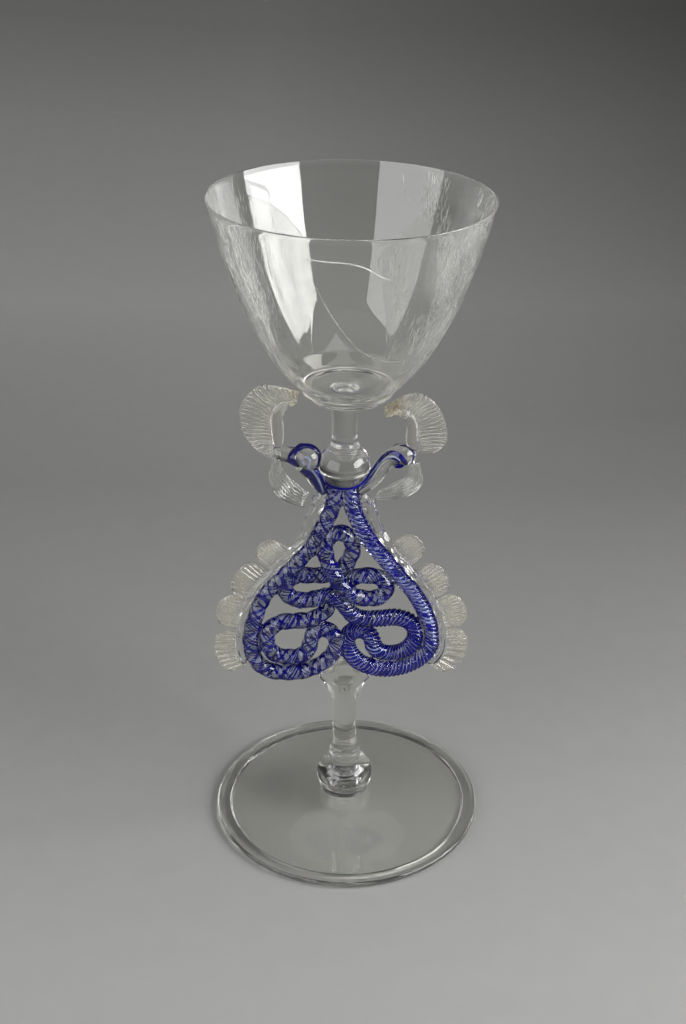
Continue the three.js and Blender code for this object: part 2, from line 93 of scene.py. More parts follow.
# Its fold: millimetres from the inner edge, then millimetres up below it, and shares of its thickness above it
FOLD_TUCK = [(0.5, 0.55), (1.2, 0.1), (2, 0)]
FOLD_TOP_SHARES = [(4.3, 0.94), (3.8, 0.86), (3.3, 0.94), (2.6, 1), (1.3, 0.97), (0.5, 0.86)]

# Outlines of the turned pieces: shares of the radius and of the height
FOOT_KNOP_SHARES = [
    (0.6, 0), (0.82, 0.015), (0.9, 0.06), (0.88, 0.11), (0.8, 0.145), (0.9, 0.19), (0.96, 0.25), (0.95, 0.315),
    (0.97, 0.37), (1, 0.45), (0.99, 0.58), (0.955, 0.68), (0.88, 0.8), (0.76, 0.9), (0.62, 0.97), (0.52, 1),
]
SHOULDER_KNOP_SHARES = [
    (0.46, 0), (0.64, 0.05), (0.76, 0.12), (0.84, 0.2), (0.92, 0.28), (1, 0.36), (1.05, 0.41), (1.06, 0.44),
    (1.03, 0.47), (1.035, 0.52), (1.05, 0.57), (1.03, 0.64), (0.96, 0.74), (0.86, 0.82), (0.74, 0.88), (0.67, 0.915),
    (0.68, 0.95), (0.64, 0.985), (0.5, 1),
]
COLLAR_SHARES = [
    (0.5, 0), (0.86, 0.02), (0.95, 0.12), (0.985, 0.3), (0.95, 0.46), (0.99, 0.62), (1, 0.78), (0.95, 0.95), (0.9, 1),
]
COLLAR_RADIUS = 14.8 * MM
COLLAR_LOW, COLLAR_HIGH = -0.28 * MM, 2.7 * MM
COLUMN_SHARES = [(0.97, 0), (1.03, 0.03), (0.97, 0.09), (0.95, 0.2), (0.95, 0.5), (0.97, 0.8), (1.02, 0.95), (1.1, 1)]
COLUMN_RADIUS = 5 * MM

# Radii of the joints where the turned pieces stand on each other
FOOT_SEAT = 5.3 * MM
STEM_SEAT = 5.76 * MM
COLUMN_SEAT = 4.9 * MM
COLLAR_SEAT = 5.5 * MM
BOWL_SEAT = 13.3 * MM

# Gaps that keep fused pieces just apart
SEAT_GAP = 0.02 * MM
LOBE_GAP = 0.04 * MM
TRAIL_GAP = 0.05 * MM
HEAD_GAP = 0.06 * MM
STEM_GAP = 0.08 * MM

# Lower stem: shares of its length, then of its radius across the wings and from front to back
LOWER_STEM_SHARES = [
    (0, 1.2, 1.2), (0.02, 1.34, 1.34), (0.05, 1.4, 1.4), (0.09, 1.37, 1.37), (0.125, 1.27, 1.27), (0.16, 1.2, 1.2),
    (0.19, 1.1, 1.1), (0.24, 1.03, 1.03), (0.35, 1, 1), (0.6, 1, 1), (0.74, 1.05, 1), (0.84, 1.25, 0.92),
    (0.92, 1.5, 0.84), (0.99, 1.8, 0.72), (1.05, 2.15, 0.62), (1.1, 2.2, 0.56), (1.17, 1.5, 0.5), (1.28, 0.9, 0.3),
]
LOWER_STEM_LENGTH = 38.1 * MM
LOWER_STEM_RADIUS = 4.8 * MM

# Necks: shares of the head's reach and rise from the cane's top, then of the neck's radius
HEAD_REACH = 23.5 * MM
HEAD_RISE = 13 * MM
NECK_SHARES = {
    "left": [
        (0.3, -0.14, 1), (0.42, 0.14, 1.15), (0.5, 0.4, 1.3), (0.56, 0.66, 1.9), (0.59, 0.9, 2.5),
        (0.68, 0.98, 2.3), (0.8, 0.98, 1.5), (0.92, 1.03, 1.2), (1, 1.06, 1.34), (1.08, 1.04, 1),
    ],
    "right": [
        (0.234, -0.115, 1), (0.36, 0.08, 1.17), (0.485, 0.32, 1.25), (0.59, 0.61, 1.27), (0.7, 0.86, 1.35),
        (0.81, 0.99, 1.55), (0.9, 1.03, 1.8), (0.98, 1, 1.75), (1.06, 0.96, 1.35), (1.12, 0.93, 0.9),
    ],
}

# Threads that run up the necks: millimetres out from the stem's axis, up from the cane's top and to the front,
# then the thread's radius
NECK_THREADS = {
    "left": [
        [
            (7, -2.2, 0.9, 1), (8.6, 0.6, 0.9, 1.15), (10.5, 3.8, 0.9, 1.15), (12.5, 6.9, 0.9, 1.1),
            (15.6, 8.6, 0.9, 1), (18.2, 10.4, 0.8, 1.7), (19.4, 12.2, 0.6, 1.9), (18.2, 14.2, 0.3, 1.3),
            (16, 15.8, 0.1, 1.05), (13.2, 16.2, 0.1, 1), (10.8, 14.8, 0.3, 0.95), (9.9, 12.3, 0.6, 1),
            (10.6, 9.8, 1, 0.9), (12, 8, 1.2, 0.6),
        ],
        [(5.2, -2, 0.5, 0.7), (6.9, 0.4, 0.3, 0.85), (8.9, 3.2, 0.2, 0.9), (10.6, 6, 0.3, 0.8), (11.6, 8.6, 0.8, 0.5)],
        [(8.9, -1.6, -0.2, 0.5), (10.6, 1.8, -0.2, 0.6), (12.6, 5, 0, 0.6), (14.4, 7.2, 0.2, 0.4)],
    ],
    "right": [
        [
            (-7.4, 4.2, 1.5, 0.3), (-6.4, 3.2, 4, 0.45), (-4, 2.7, 6.2, 0.5), (0, 2.6, 7.3, 0.5), (3.8, 2.8, 6.3, 0.55),
            (6.6, 3.6, 3.8, 0.6), (8.6, 5, 1.4, 0.65), (11.2, 8.2, 0.8, 0.65), (13.5, 11.4, 0.6, 0.7),
            (16, 13.5, 0.5, 0.75), (18.3, 14, 0.5, 0.75), (20.7, 13.2, 0.5, 0.7), (23, 10.6, 0.6, 0.45),
        ],
        [
            (4.4, -1.4, 1.2, 0.5), (8.2, 1.6, 0.8, 0.55), (10.6, 5.2, 0.6, 0.5), (12.8, 8.8, 0.4, 0.45),
            (15.2, 11.4, 0.4, 0.45), (18, 12.3, 0.4, 0.4), (21, 11.6, 0.4, 0.35),
        ],
        [
            (20.6, 17, 0.4, 0.3), (23, 16.4, 0.4, 0.4), (24.9, 14.2, 0.4, 0.45), (24.9, 11.6, 0.4, 0.4),
            (23.6, 10, 0.6, 0.3),
        ],
        [
            (18.4, 10, 2.2, 0.25), (20, 10.6, 2.6, 0.4), (21.8, 9.8, 2.2, 0.4), (20.6, 9, 2, 0.4), (19, 9.2, 2.2, 0.35),
            (20.2, 10, 2.8, 0.3), (22.2, 10.8, 2.2, 0.25),
        ],
    ],
}
PALE_NECK_THREADS = {
    "left": [
        [
            (7.9, -1.4, 1.9, 0.34), (9.9, 4.2, 2.2, 0.4), (12.2, 8.4, 2.6, 0.44), (13.6, 10.6, 3.2, 0.46),
            (13, 12.6, 3.4, 0.44), (14.4, 13.8, 3.4, 0.4), (15.4, 12.6, 3.4, 0.34), (14.8, 11.2, 3.2, 0.24),
        ],
    ],
    "right": [
        [
            (5.6, 0.4, 2, 0.16), (8.8, 4, 1.6, 0.2), (11.3, 7.4, 1.4, 0.22), (13.7, 10.4, 1.2, 0.22),
            (16.2, 12.5, 1.1, 0.22), (18.6, 13, 1.1, 0.2), (21, 12.1, 1, 0.16),
        ],
    ],
}

# Long cracks in the bowl's wall: degrees to the right of the front, then millimetres above its base
HAIRLINES = [
    [(-14.5, 53.9), (-11.1, 47.1), (-6, 40), (1.4, 32.4), (10.3, 26.7), (20, 23.9), (30.7, 22.5)],
    [(-18.7, 63.8), (-10.2, 63.3), (-1.9, 63), (5.1, 61.5), (11.4, 58.1), (17.3, 56.3)],
]

# Stretches of the bowl's wall that are crizzled: bearings in degrees to the right, and the share of the height they
# start at
CRIZZLED = [(38, 156, 0.05), (-130, -36, 0.05), (106, 146, 0.45), (33, 66, 0.08)]

# Crests and chin wings: each rib runs from the inner line to the outer; shares of the width out and the height up
FAN_WIDTH = 16 * MM
CREST_HEIGHT = 30 * MM
CHIN_HEIGHT = 20 * MM
CREST_SHARES = {
    "left": (
        [(0.06, 0.06), (-0.04, 0.18), (-0.07, 0.36), (-0.04, 0.52), (-0.17, 0.64), (-0.36, 0.69)],
        [(0.28, -0.04), (0.7, 0.14), (0.93, 0.4), (0.88, 0.71), (0.42, 0.94), (-0.44, 0.86)],
    ),
    "right": (
        [(0.08, 0.06), (-0.05, 0.18), (-0.03, 0.36), (-0.1, 0.5), (-0.28, 0.55), (-0.54, 0.51)],
        [(0.6, 0.02), (0.88, 0.16), (0.87, 0.42), (0.6, 0.71), (0.14, 0.84), (-0.58, 0.66)],
    ),
}
CHIN_SHARES = {
    "left": (
        [(0.02, -0.08), (-0.1, -0.36), (-0.34, -0.58), (-0.62, -0.78)],
        [(0.22, -0.04), (0.31, -0.5), (0.08, -0.88), (-0.5, -1.1)],
    ),
    "right": (
        [(0.06, -0.14), (-0.04, -0.44), (-0.32, -0.58), (-0.7, -0.76)],
        [(0.3, -0.14), (0.36, -0.6), (0.02, -0.86), (-0.74, -0.94)],
    ),
}

# Stretches of the cane's length that the trails follow, and where the lobes sit on them and how far they reach
TRAIL_SHARES = {"left": (0.012, 0.155), "right": (0.985, 0.847)}
TRAIL_HALF_DEPTH = 2.3 * MM
# How far a trail sinks towards the cane, and the share of its stretch by which it runs on beside the cane's top
TRAIL_SINK = 0.25 * MM
TRAIL_RUN_ON = 0.078
LOBE_SHARES = {"left": (0.42, 0.59, 0.755, 0.93), "right": (0.36, 0.57, 0.745, 0.91)}
LOBE_REACH_SHARES = {"left": (1.12, 1, 1.12, 1.02), "right": (1.1, 1.02, 1.1, 0.97)}
LOBE_HALF_LENGTH_SHARE = 0.081

BOWL_BASE_RADIUS = 16.9 * MM
# The bowl's inside from its wall to its axis: millimetres out and up
BOWL_WELL = [(17.1, 4.5), (15.1, 3.3), (13.4, 2.8), (12.4, 2.9), (11.2, 2.6), (7.5, 2.5), (3, 2.6), (0.5, 2.65)]

CAMERA_PLACE = (-1.57 * MM, -493.2 * MM, 398.1 * MM)
# How many surfaces light may meet on its way through the glass
LIGHT_BOUNCES = 24


def linear(hex_colour):
    """An sRGB hex colour as linear red, green, blue and a full alpha"""
    levels = [int(hex_colour[i:i + 2], 16) / 255 for i in (1, 3, 5)]
    return tuple(c / 12.92 if c <= 0.04045 else ((c + 0.055) / 1.055) ** 2.4 for c in levels) + (1.0,)


def length(name, description, millimetres):
    """A length that the sidebar shows in the scene's units"""
    return FloatProperty(
        name=name, description=description, default=millimetres * MM, min=0.0, unit="LENGTH", precision=5
    )


def how_many(name, description, default):
    """A number of like things, at least one"""
    return IntProperty(name=name, description=description, default=default, min=1)


def lamp_power(name, description, watts):
    """The power of a lamp"""
    return FloatProperty(name=name, description=description, default=watts, min=0.0, unit="POWER")


def colour(name, description, hex_colour):
    """A colour that the sidebar shows as a swatch"""
    return FloatVectorProperty(
        name=name, description=description, default=linear(hex_colour), size=4, min=0.0, max=1.0, subtype="COLOR"
    )


class GobletSizes(bpy.types.PropertyGroup):
    """Sizes of the glass that a maker would change"""

    cane_radius: length("Cane radius", "Radius of the cane that is bent into the serpent", 3.5)
    figure_half_width: length("Figure half width", "Half the width of the figure, on the cane's centre line", 38)
    figure_height: length("Figure height", "Height of the figure, on the cane's centre line", 84)
    fuse_detail: length("Fused detail", "Finest detail kept where runs of hot cane flow together", 0.4)
    thread_depth: length("Thread depth", "How far the threads lie under the cane's surface", 0.9)
    flank_depth: length("Flank thread depth", "How far they lie under it on the right flank", 1.55)
    blue_thread: length("Blue thread", "Radius of a blue thread on the right", 0.4)
    pale_thread: length("Pale thread", "Radius of a pale thread on the right", 0.21)
    open_pitch: length("Open pitch", "Length of one turn of the threads on the left", 12)
    tight_pitch: length("Tight pitch", "Length of one turn of the threads on the right", 8)
    rib_height: length("Rib height", "How far a thread lifts the cane's surface over it", 0.55)
    foot_radius: length("Foot radius", "Radius of the foot", 54.4)
    fold_width: length("Fold width", "Width of the foot's folded rim", 6.1)
    fold_height: length("Fold height", "Thickness of the foot's folded rim", 3)
    foot_wall: length("Foot thickness", "Thickness of the foot inside its rim", 2.2)
    foot_crown: length("Foot crown", "Height of the foot at its middle", 8.6)
    bowl_rim: length("Rim radius", "Radius of the bowl at its rim", 50.1)
    bowl_height: length("Bowl height", "Height of the bowl above its collar", 71)
    bowl_wall: length("Bowl wall", "Thickness of the bowl's wall at the rim", 0.85)
    bowl_base: length("Bowl base", "Thickness of the bowl's base", 4)
    neck_radius: length("Neck radius", "Radius of a neck at its root", 2.4)
    trail_width: length("Trail width", "Width of a flank's trail beside its lobes", 2.7)
    trail_top: length("Trail top width", "Width of a flank's trail at its upper end", 5)
    lobe_reach: length("Lobe reach", "How far a lobe stands out from its trail", 8.6)
    lobe_thickness: length("Lobe thickness", "Thickness of a lobe at its root", 3)
    lobe_ribs: how_many("Lobe ribs", "Ribs that the pincers leave on a lobe", 10)
    crest_ribs: how_many("Crest ribs", "Ribs that the pincers leave on a crest", 25)
    chin_ribs: how_many("Chin ribs", "Ribs along a chin wing", 7)
    crizzle_cracks: how_many("Crizzle cracks", "Small cracks in the bowl's wall", 1240)


class GobletColours(bpy.types.PropertyGroup):
    """Colours of the glass and of the paper"""

    clear: colour("Clear glass", "Soda glass, with a trace of grey", "#F9F9F6")
    blown: colour("Blown glass", "Thin soda glass of the bowl, almost without colour", "#FFFFFD")
    solid: colour("Solid glass", "Soda glass thick enough to show its grey", "#F3F3F0")
    thick: colour("Bowl's base", "Soda glass of the bowl where it is thickest", "#F7F7F0")
    straw: colour("Pincered glass", "Soda glass, with a trace of straw", "#FBFAF4")
    clouded: colour("Lobe glass", "Soda glass, with more of the straw colour", "#F2F0E5")
    tinged: colour("Cane glass", "Soda glass that the cobalt tinges", "#DFE4FC")
    blue: colour("Blue thread", "Cobalt glass", "#1718AC")
    pale: colour("Pale thread", "Milk glass over cobalt", "#B8C4F6")
    paper: colour("Paper", "Paper sweep of the studio", "#979795")
    residue: colour("Residue", "Old amber resin on the tips of the crests", "#B9AD90")


class StudioSettings(bpy.types.PropertyGroup):
    """Lamps and camera of the studio"""

    key_power: lamp_power("Key power", "Power of the large soft lamp on the right", 18.6)
    fill_power: lamp_power("Fill power", "Power of the soft lamp on the left", 8.9)
    top_power: lamp_power("Top power", "Power of the soft lamp overhead", 6.0)
    room_level: FloatProperty(
        name="Room level", description="Brightness of the room around the stage", default=0.24, min=0.0
    )
    focal_length: length("Focal length", "Lens of the camera, on a 36 mm frame", 51.54)
    camera_pitch: FloatProperty(
        name="Camera pitch", description="How far the camera looks down", default=math.radians(27.8), subtype="ANGLE"
    )


# Curves and outlines


def smooth_curve(points, steps=24):
    """Points along a centripetal curve through the given ones, with as many steps between each two"""
    p = np.asarray(points, float)
    p = np.vstack([2 * p[0] - p[1], p, 2 * p[-1] - p[-2]])
    gaps = np.maximum(np.linalg.norm(np.diff(p, axis=0), axis=1) ** 0.5, 1e-9)
    found = []
    for i in range(1, len(p) - 2):
        before, here, after = gaps[i - 1], gaps[i], gaps[i + 1]
        leave = ((p[i] - p[i - 1]) / before - (p[i + 1] - p[i - 1]) / (before + here) + (p[i + 1] - p[i]) / here) * here
        reach = ((p[i + 1] - p[i]) / here - (p[i + 2] - p[i]) / (here + after) + (p[i + 2] - p[i + 1]) / after) * here
        t = np.arange(steps)[:, None] / steps
        square, cube = t * t, t * t * t
        found.append(
            (2 * cube - 3 * square + 1) * p[i] + (cube - 2 * square + t) * leave
            + (3 * square - 2 * cube) * p[i + 1] + (cube - square) * reach
        )
    return np.vstack(found + [p[-2:-1]])


def unit(vectors):
    """The vectors' directions"""
    return vectors / np.linalg.norm(vectors, axis=1)[:, None]


def walked_along(line):
    """How far along a line each of its points lies"""
    return np.concatenate([[0], np.cumsum(np.linalg.norm(np.diff(line, axis=0), axis=1))])


def along(points, shares):
    """Points of a smooth curve at shares of its length, and the way it runs there"""
    dense = smooth_curve(points)
    walked = walked_along(dense)
    asked = np.asarray(shares, float) * walked[-1]
    place, heading = (
        np.stack([np.interp(asked, walked, values[:, k]) for k in range(3)], 1)
        for values in (dense, unit(np.gradient(dense, axis=0)))
    )
    return place, unit(heading)


def curve_length(points):
    """Length of the smooth curve through the points"""
    return float(np.linalg.norm(np.diff(smooth_curve(points), axis=0), axis=1).sum())


def eased(low, high, value):
    """0 below low, 1 above high, and smooth between them"""
    share = np.clip((np.asarray(value, float) - low) / (high - low), 0, 1)
    return share * share * (3 - 2 * share)


def rounded(share, power, least):
    """What is left of a depth where it rounds off, at a share of the way from there to the edge"""
    return np.sqrt(np.clip(1 - share ** power, least, 1))


def around(count):
    """Even angles all the way round"""
    return np.arange(count) / count * TAU


def ring_frame(heading):
    """Two directions square to each heading: one in the plane of the wings, and one towards the back"""
    back = unit(np.array([0.0, 1.0, 0.0]) - heading * heading[:, 1:2])
    return np.cross(heading, back), back


def ring_ways(side, back, count):
    """Directions all round a line at each of its points, from its side towards its back"""
    angle = around(count)
    return side[:, None] * np.cos(angle)[None, :, None] + back[:, None] * np.sin(angle)[None, :, None]


# Meshes


def lofted(rings, ends="glass"):
    """Points, faces and the numbers of the joint faces of a closed body through rings, each closed end a fan"""
    count, sides = rings.shape[:2]
    points = np.vstack([rings.reshape(-1, 3), rings[0].mean(0)[None], rings[-1].mean(0)[None]])
    first, last = count * sides, count * sides + 1
    low = np.arange(sides)
    high = (low + 1) % sides
    faces = []
    for i in range(count - 1):
        a, b = i * sides, (i + 1) * sides
        faces.append(np.stack([a + low, a + high, b + high, b + low], 1))
    quads = np.vstack(faces).tolist()
    top = (count - 1) * sides
    start = np.stack([np.full(sides, first), high, low], 1).tolist()
    finish = np.stack([np.full(sides, last), top + low, top + high], 1).tolist()
    joints = []
    if ends in ("first joint", "both joint"):
        joints += range(len(quads), len(quads) + sides)
    if ends in ("last joint", "both joint"):
        joints += range(len(quads) + sides, len(quads) + 2 * sides)
    return points, quads + start + finish, joints


def turned(outline, facets, ends):
    """A body turned from an outline of radius and height, which runs from one fan on the axis to the other"""
    angle = around(facets)
    outline = np.asarray(outline, float)
    ring = np.stack([np.cos(angle), np.sin(angle), np.zeros(facets)], 1)
    rings = outline[:, 0, None, None] * ring[None] + outline[:, 1, None, None] * np.array([0.0, 0.0, 1.0])
    return lofted(rings, ends)


def joined(bodies):
    """Several bodies without joints as one"""
    points, faces = [], []
    offset = 0
    for corners, sides, _ in bodies:
        points.append(corners)
        faces += [[corner + offset for corner in face] for face in sides]
        offset += len(corners)
    return np.vstack(points), faces, []


def outward(points, faces):
    """The faces, turned round if the body is inside out"""
    first = np.array([f[:3] for f in faces])
    rest = np.array([[f[0], f[2], f[3]] for f in faces if len(f) == 4])
    corners = points[np.vstack([first, rest]) if len(rest) else first]
    volume = np.einsum("ij,ij->i", corners[:, 0], np.cross(corners[:, 1], corners[:, 2])).sum()
    return faces if volume > 0 else [f[::-1] for f in faces]


def mesh_object(name, body):
    """A body as a mesh object in the scene"""
    points, faces, _ = body
    mesh = bpy.data.meshes.new(name)
    mesh.from_pydata(points.tolist(), [], outward(points, faces))
    found = bpy.data.objects.new(name, mesh)
    bpy.context.scene.collection.objects.link(found)
    return found


def baked(found):
    """Turns the object's modifiers into its mesh"""
    shaped = found.evaluated_get(bpy.context.evaluated_depsgraph_get())
    mesh = bpy.data.meshes.new_from_object(shaped)
    found.modifiers.clear()
    found.data = mesh
    return found


def fused(found, detail):
    """Runs everything in the mesh together into one skin, as hot glass does"""
    remesh = found.modifiers.new("Fuse", "REMESH")
    remesh.mode = "VOXEL"
    remesh.voxel_size = detail
    relax = found.modifiers.new("Relax", "SMOOTH")
    relax.factor = 0.5
    relax.iterations = 2
    return baked(found)


def trimmed(found, finish, *cutters):
    """Cuts away what lies inside the cutters, and marks the cut faces as joints"""
    found.data.materials.append(finish)
    for cutter in cutters:
        cutter.data.materials.clear()
        cutter.data.materials.append(joint_face())
        trim = found.modifiers.new("Trim", "BOOLEAN")
        trim.operation = "DIFFERENCE"
        trim.solver = "MANIFOLD"
        trim.material_mode = "TRANSFER"
        trim.object = cutter
    return baked(found)


def discard(*objects):
    """Removes helper objects and their meshes"""
    for found in objects:
        mesh = found.data
        bpy.data.objects.remove(found)
        bpy.data.meshes.remove(mesh)


def finished(found, finish, nodes=(), joints=()):
    """Gives a piece its finish, makes it smooth, and puts it on its body"""
    mesh = found.data
    if not mesh.materials:
        mesh.materials.append(finish)
    if joints:
        if len(mesh.materials) == 1:
            mesh.materials.append(joint_face())
        for number in joints:
            mesh.polygons[number].material_index = 1
    mesh.shade_smooth()
    mesh.set_sharp_from_angle(angle=math.radians(55))
    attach(found, "root")
    if nodes:
        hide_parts(*nodes)


def fitted(node, body, finish, slot, *cutters):
    """Adds a node's piece, with what its neighbours take up cut out of it"""
    found = trimmed(mesh_object(f"{node}_glass", body), finish, *cutters)
    finished(found, finish, [node])


def stem_place():
    """The stem's own frame: its axis lies a little to the left of the foot's centre"""
    low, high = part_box("foot_knop")
    return Matrix.Translation(((low.x + high.x) / 2, 0, 0))


def bowl_place():
    """The bowl's frame: the bowl leans a little to the right on its collar"""
    low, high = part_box("upper_stem")
    lean = math.radians(0.95)
    return Matrix.Translation(((low.x + high.x) / 2 + 1.2 * MM, 0, high.z + 0.3 * MM)) @ Matrix.Rotation(lean, 4, "Y")


# Materials

SODA_GLASS_IOR = 1.51
# Sockets of a Mix node that mixes colours
MIX_FIRST, MIX_SECOND, MIX_RESULT = 6, 7, 2


def add_node(tree, kind, settings=None, inputs=None):
    """Adds a node with its settings and inputs: a socket, or a node's first output, is linked; anything else is set"""
    node = tree.nodes.new(kind)
    for name, value in (settings or {}).items():
        setattr(node, name, value)
    for name, value in (inputs or {}).items():
        if isinstance(value, bpy.types.Node):
            value = value.outputs[0]
        if isinstance(value, bpy.types.NodeSocket):
            tree.links.new(value, node.inputs[name])
        else:
            node.inputs[name].default_value = value
    return node


def material(name, dress, *details):
    """The material of that name; dress adds its nodes the first time, and returns its shader"""
    made = bpy.data.materials.get(name)
    if made is None:
        made = bpy.data.materials.new(name)
        made.use_nodes = True
        made.node_tree.nodes.clear()
        shader = dress(made.node_tree, *details)
        add_node(made.node_tree, "ShaderNodeOutputMaterial", inputs={"Surface": shader})
    return made


def colours():
    """The colours in the sidebar"""
    return bpy.context.scene.goblet_colours


def shade(base, level):
    """A colour made darker or lighter"""
    return tuple(min(c * level, 1.0) for c in base[:3]) + (1.0,)


def per_metre(millimetres):
    """The scale at which a texture's features are that many millimetres wide"""
    return 1 / (millimetres * MM)


def polished(tree, base):
    """Soda glass, fire polished: sharp reflections over slow waves left by the tools"""
    place = add_node(tree, "ShaderNodeTexCoord").outputs["Object"]
    waves = add_node(tree, "ShaderNodeTexNoise", inputs={"Vector": place, "Scale": per_metre(9), "Detail": 1.0})
    bump = add_node(tree, "ShaderNodeBump", inputs={"Height": waves, "Strength": 0.35, "Distance": 0.25 * MM})
    return add_node(tree, "ShaderNodeBsdfPrincipled", inputs={
        "Base Color": base, "Roughness": 0.0, "IOR": SODA_GLASS_IOR, "Transmission Weight": 1.0, "Normal": bump,
    })


def clear_glass():
    """Foot, necks and trails: colourless"""
    return material("fire polished soda glass", polished, colours().clear)


def solid_glass():
    """Turned parts of the stem: solid, so they look a little greyer"""
    return material("solid soda glass", polished, colours().solid)


def cane_glass():
    """The cane around its threads: a little of their cobalt tinges it"""
    return material("cobalt tinged soda glass", polished, colours().tinged)


def pincered(tree, base, clearness, roughness, on_ridges):
    """Soda glass pressed in pincers: chilled in them, so a little cloudy; amber resin clings to the crest tips"""
    place = add_node(tree, "ShaderNodeTexCoord").outputs["Object"]
    waves = add_node(tree, "ShaderNodeTexNoise", inputs={"Vector": place, "Scale": per_metre(4), "Detail": 1.0})
    bump = add_node(tree, "ShaderNodeBump", inputs={"Height": waves, "Strength": 0.4, "Distance": 0.15 * MM})
    parts = add_node(tree, "ShaderNodeSeparateXYZ", inputs={"Vector": place})
    inside = add_node(tree, "ShaderNodeMath", {"operation": "ABSOLUTE"}, {0: parts.outputs["X"]})
    near_stem = add_node(tree, "ShaderNodeMapRange", inputs={"Value": inside, "From Min": 23 * MM, "From Max": 19 * MM})
    high = add_node(tree, "ShaderNodeMapRange", inputs={
        "Value": parts.outputs["Z"], "From Min": 176 * MM, "From Max": 179 * MM,
    })
    crumbs = add_node(tree, "ShaderNodeTexNoise", inputs={"Vector": place, "Scale": per_metre(1.1), "Detail": 3.0})
    crusted = add_node(tree, "ShaderNodeMapRange", inputs={"Value": crumbs, "From Min": 0.42, "From Max": 0.6})
    at_tip = add_node(tree, "ShaderNodeMath", {"operation": "MULTIPLY"}, {0: near_stem, 1: high})
    resin = add_node(tree, "ShaderNodeMath", {"operation": "MULTIPLY"}, {0: at_tip, 1: crusted})
    tone = add_node(tree, "ShaderNodeMix", {"data_type": "RGBA"}, {
        "Factor": resin, MIX_FIRST: base, MIX_SECOND: colours().residue,
    })
    clear = add_node(tree, "ShaderNodeMapRange", inputs={"Value": resin, "To Min": clearness, "To Max": 0.45})
    # Painted highlight: the ridges that the pincers raise are made less clear, so they show as white lines
    edges = add_node(tree, "ShaderNodeNewGeometry")
    painted_ridge_highlight = add_node(tree, "ShaderNodeMapRange", inputs={
        "Value": edges.outputs["Pointiness"], "From Min": 0.515, "From Max": 0.57, "To Min": 1.0, "To Max": on_ridges,
    })
    left_clear = add_node(tree, "ShaderNodeMath", {"operation": "MULTIPLY"}, {0: clear, 1: painted_ridge_highlight})
    return add_node(tree, "ShaderNodeBsdfPrincipled", inputs={
        "Base Color": tone.outputs[MIX_RESULT], "Roughness": roughness, "IOR": SODA_GLASS_IOR,
        "Transmission Weight": left_clear, "Normal": bump,
    })


def crest_glass():
    """Crests: nearly clear"""
    return material("pincered clear glass", pincered, colours().straw, 0.99, 0.02, 0.7)


def chin_glass():
    """Chin wings: pinched thinner, and clear"""
    return material("thin pincered glass", pincered, colours().solid, 1.0, 0.01, 0.88)


def lobe_glass(number):
    """Lobes: straw coloured, and cloudier in the lower two, which stayed longer in the pincers"""
    base = colours().clouded
    if number < 3:
        return material("pincered straw glass", pincered, base, 0.96, 0.04, 0.75)
    return material("clouded straw glass", pincered, base, 0.9, 0.06, 0.75)


def crizzled(tree):
    """Blown soda glass whose walls are crizzled: cracks too fine to see one by one haze both sides of the bowl"""
    place = add_node(tree, "ShaderNodeTexCoord").outputs["Object"]
    parts = add_node(tree, "ShaderNodeSeparateXYZ", inputs={"Vector": place})
    front = add_node(tree, "ShaderNodeMath", {"operation": "MULTIPLY"}, {0: parts.outputs["Y"], 1: -1.0})
    bearing = add_node(tree, "ShaderNodeMath", {"operation": "ARCTAN2"}, {0: parts.outputs["X"], 1: front})
    share = add_node(tree, "ShaderNodeMapRange", inputs={"Value": bearing, "From Min": -math.pi, "From Max": math.pi})
    sides = add_node(tree, "ShaderNodeValToRGB", inputs={"Fac": share})
    ramp = sides.color_ramp
    for degrees, level in ((-128, 0), (-108, 1), (-52, 1), (-34, 0), (30, 0), (44, 1), (124, 1), (140, 0)):
        stop = ramp.elements.new(0.5 + degrees / 360)
        stop.color = (level, level, level, 1.0)
    ramp.elements[0].color = ramp.elements[-1].color = (0.0, 0.0, 0.0, 1.0)
    cloud = add_node(tree, "ShaderNodeTexNoise", inputs={"Vector": place, "Scale": per_metre(22), "Detail": 2.0})
    patches = add_node(tree, "ShaderNodeMapRange", inputs={"Value": cloud, "From Min": 0.36, "From Max": 0.58})
    masked = add_node(tree, "ShaderNodeMath", {"operation": "MULTIPLY"}, {0: sides, 1: patches})
    clear = add_node(tree, "ShaderNodeMapRange", inputs={"Value": masked, "To Min": 1.0, "To Max": 0.9})
    waves = add_node(tree, "ShaderNodeTexNoise", inputs={"Vector": place, "Scale": per_metre(12), "Detail": 1.0})
    bump = add_node(tree, "ShaderNodeBump", inputs={"Height": waves, "Strength": 0.14, "Distance": 0.2 * MM})
    base_height = bowl_place().translation.z
    rise = add_node(tree, "ShaderNodeMapRange", inputs={
        "Value": parts.outputs["Z"], "From Min": base_height + 4 * MM, "From Max": base_height + 17 * MM,
    })
    tone = add_node(tree, "ShaderNodeMix", {"data_type": "RGBA"}, {
        "Factor": rise, MIX_FIRST: colours().thick, MIX_SECOND: colours().blown,
    })
    return add_node(tree, "ShaderNodeBsdfPrincipled", inputs={
        "Base Color": tone.outputs[MIX_RESULT], "Roughness": 0.0, "IOR": SODA_GLASS_IOR,
        "Transmission Weight": clear, "Normal": bump,
    })


def frosted(tree):
    """A crack that runs right through the wall: its rough faces shine white"""
    place = add_node(tree, "ShaderNodeTexCoord").outputs["Object"]
    grain = add_node(tree, "ShaderNodeTexNoise", inputs={"Vector": place, "Scale": per_metre(3), "Detail": 2.0})
    clear = add_node(tree, "ShaderNodeMapRange", inputs={
        "Value": grain, "From Min": 0.35, "From Max": 0.65, "To Max": 0.4,
    })
    return add_node(tree, "ShaderNodeBsdfPrincipled", inputs={
        "Base Color": colours().blown, "Roughness": 0.45, "IOR": 1.2, "Transmission Weight": clear,
    })


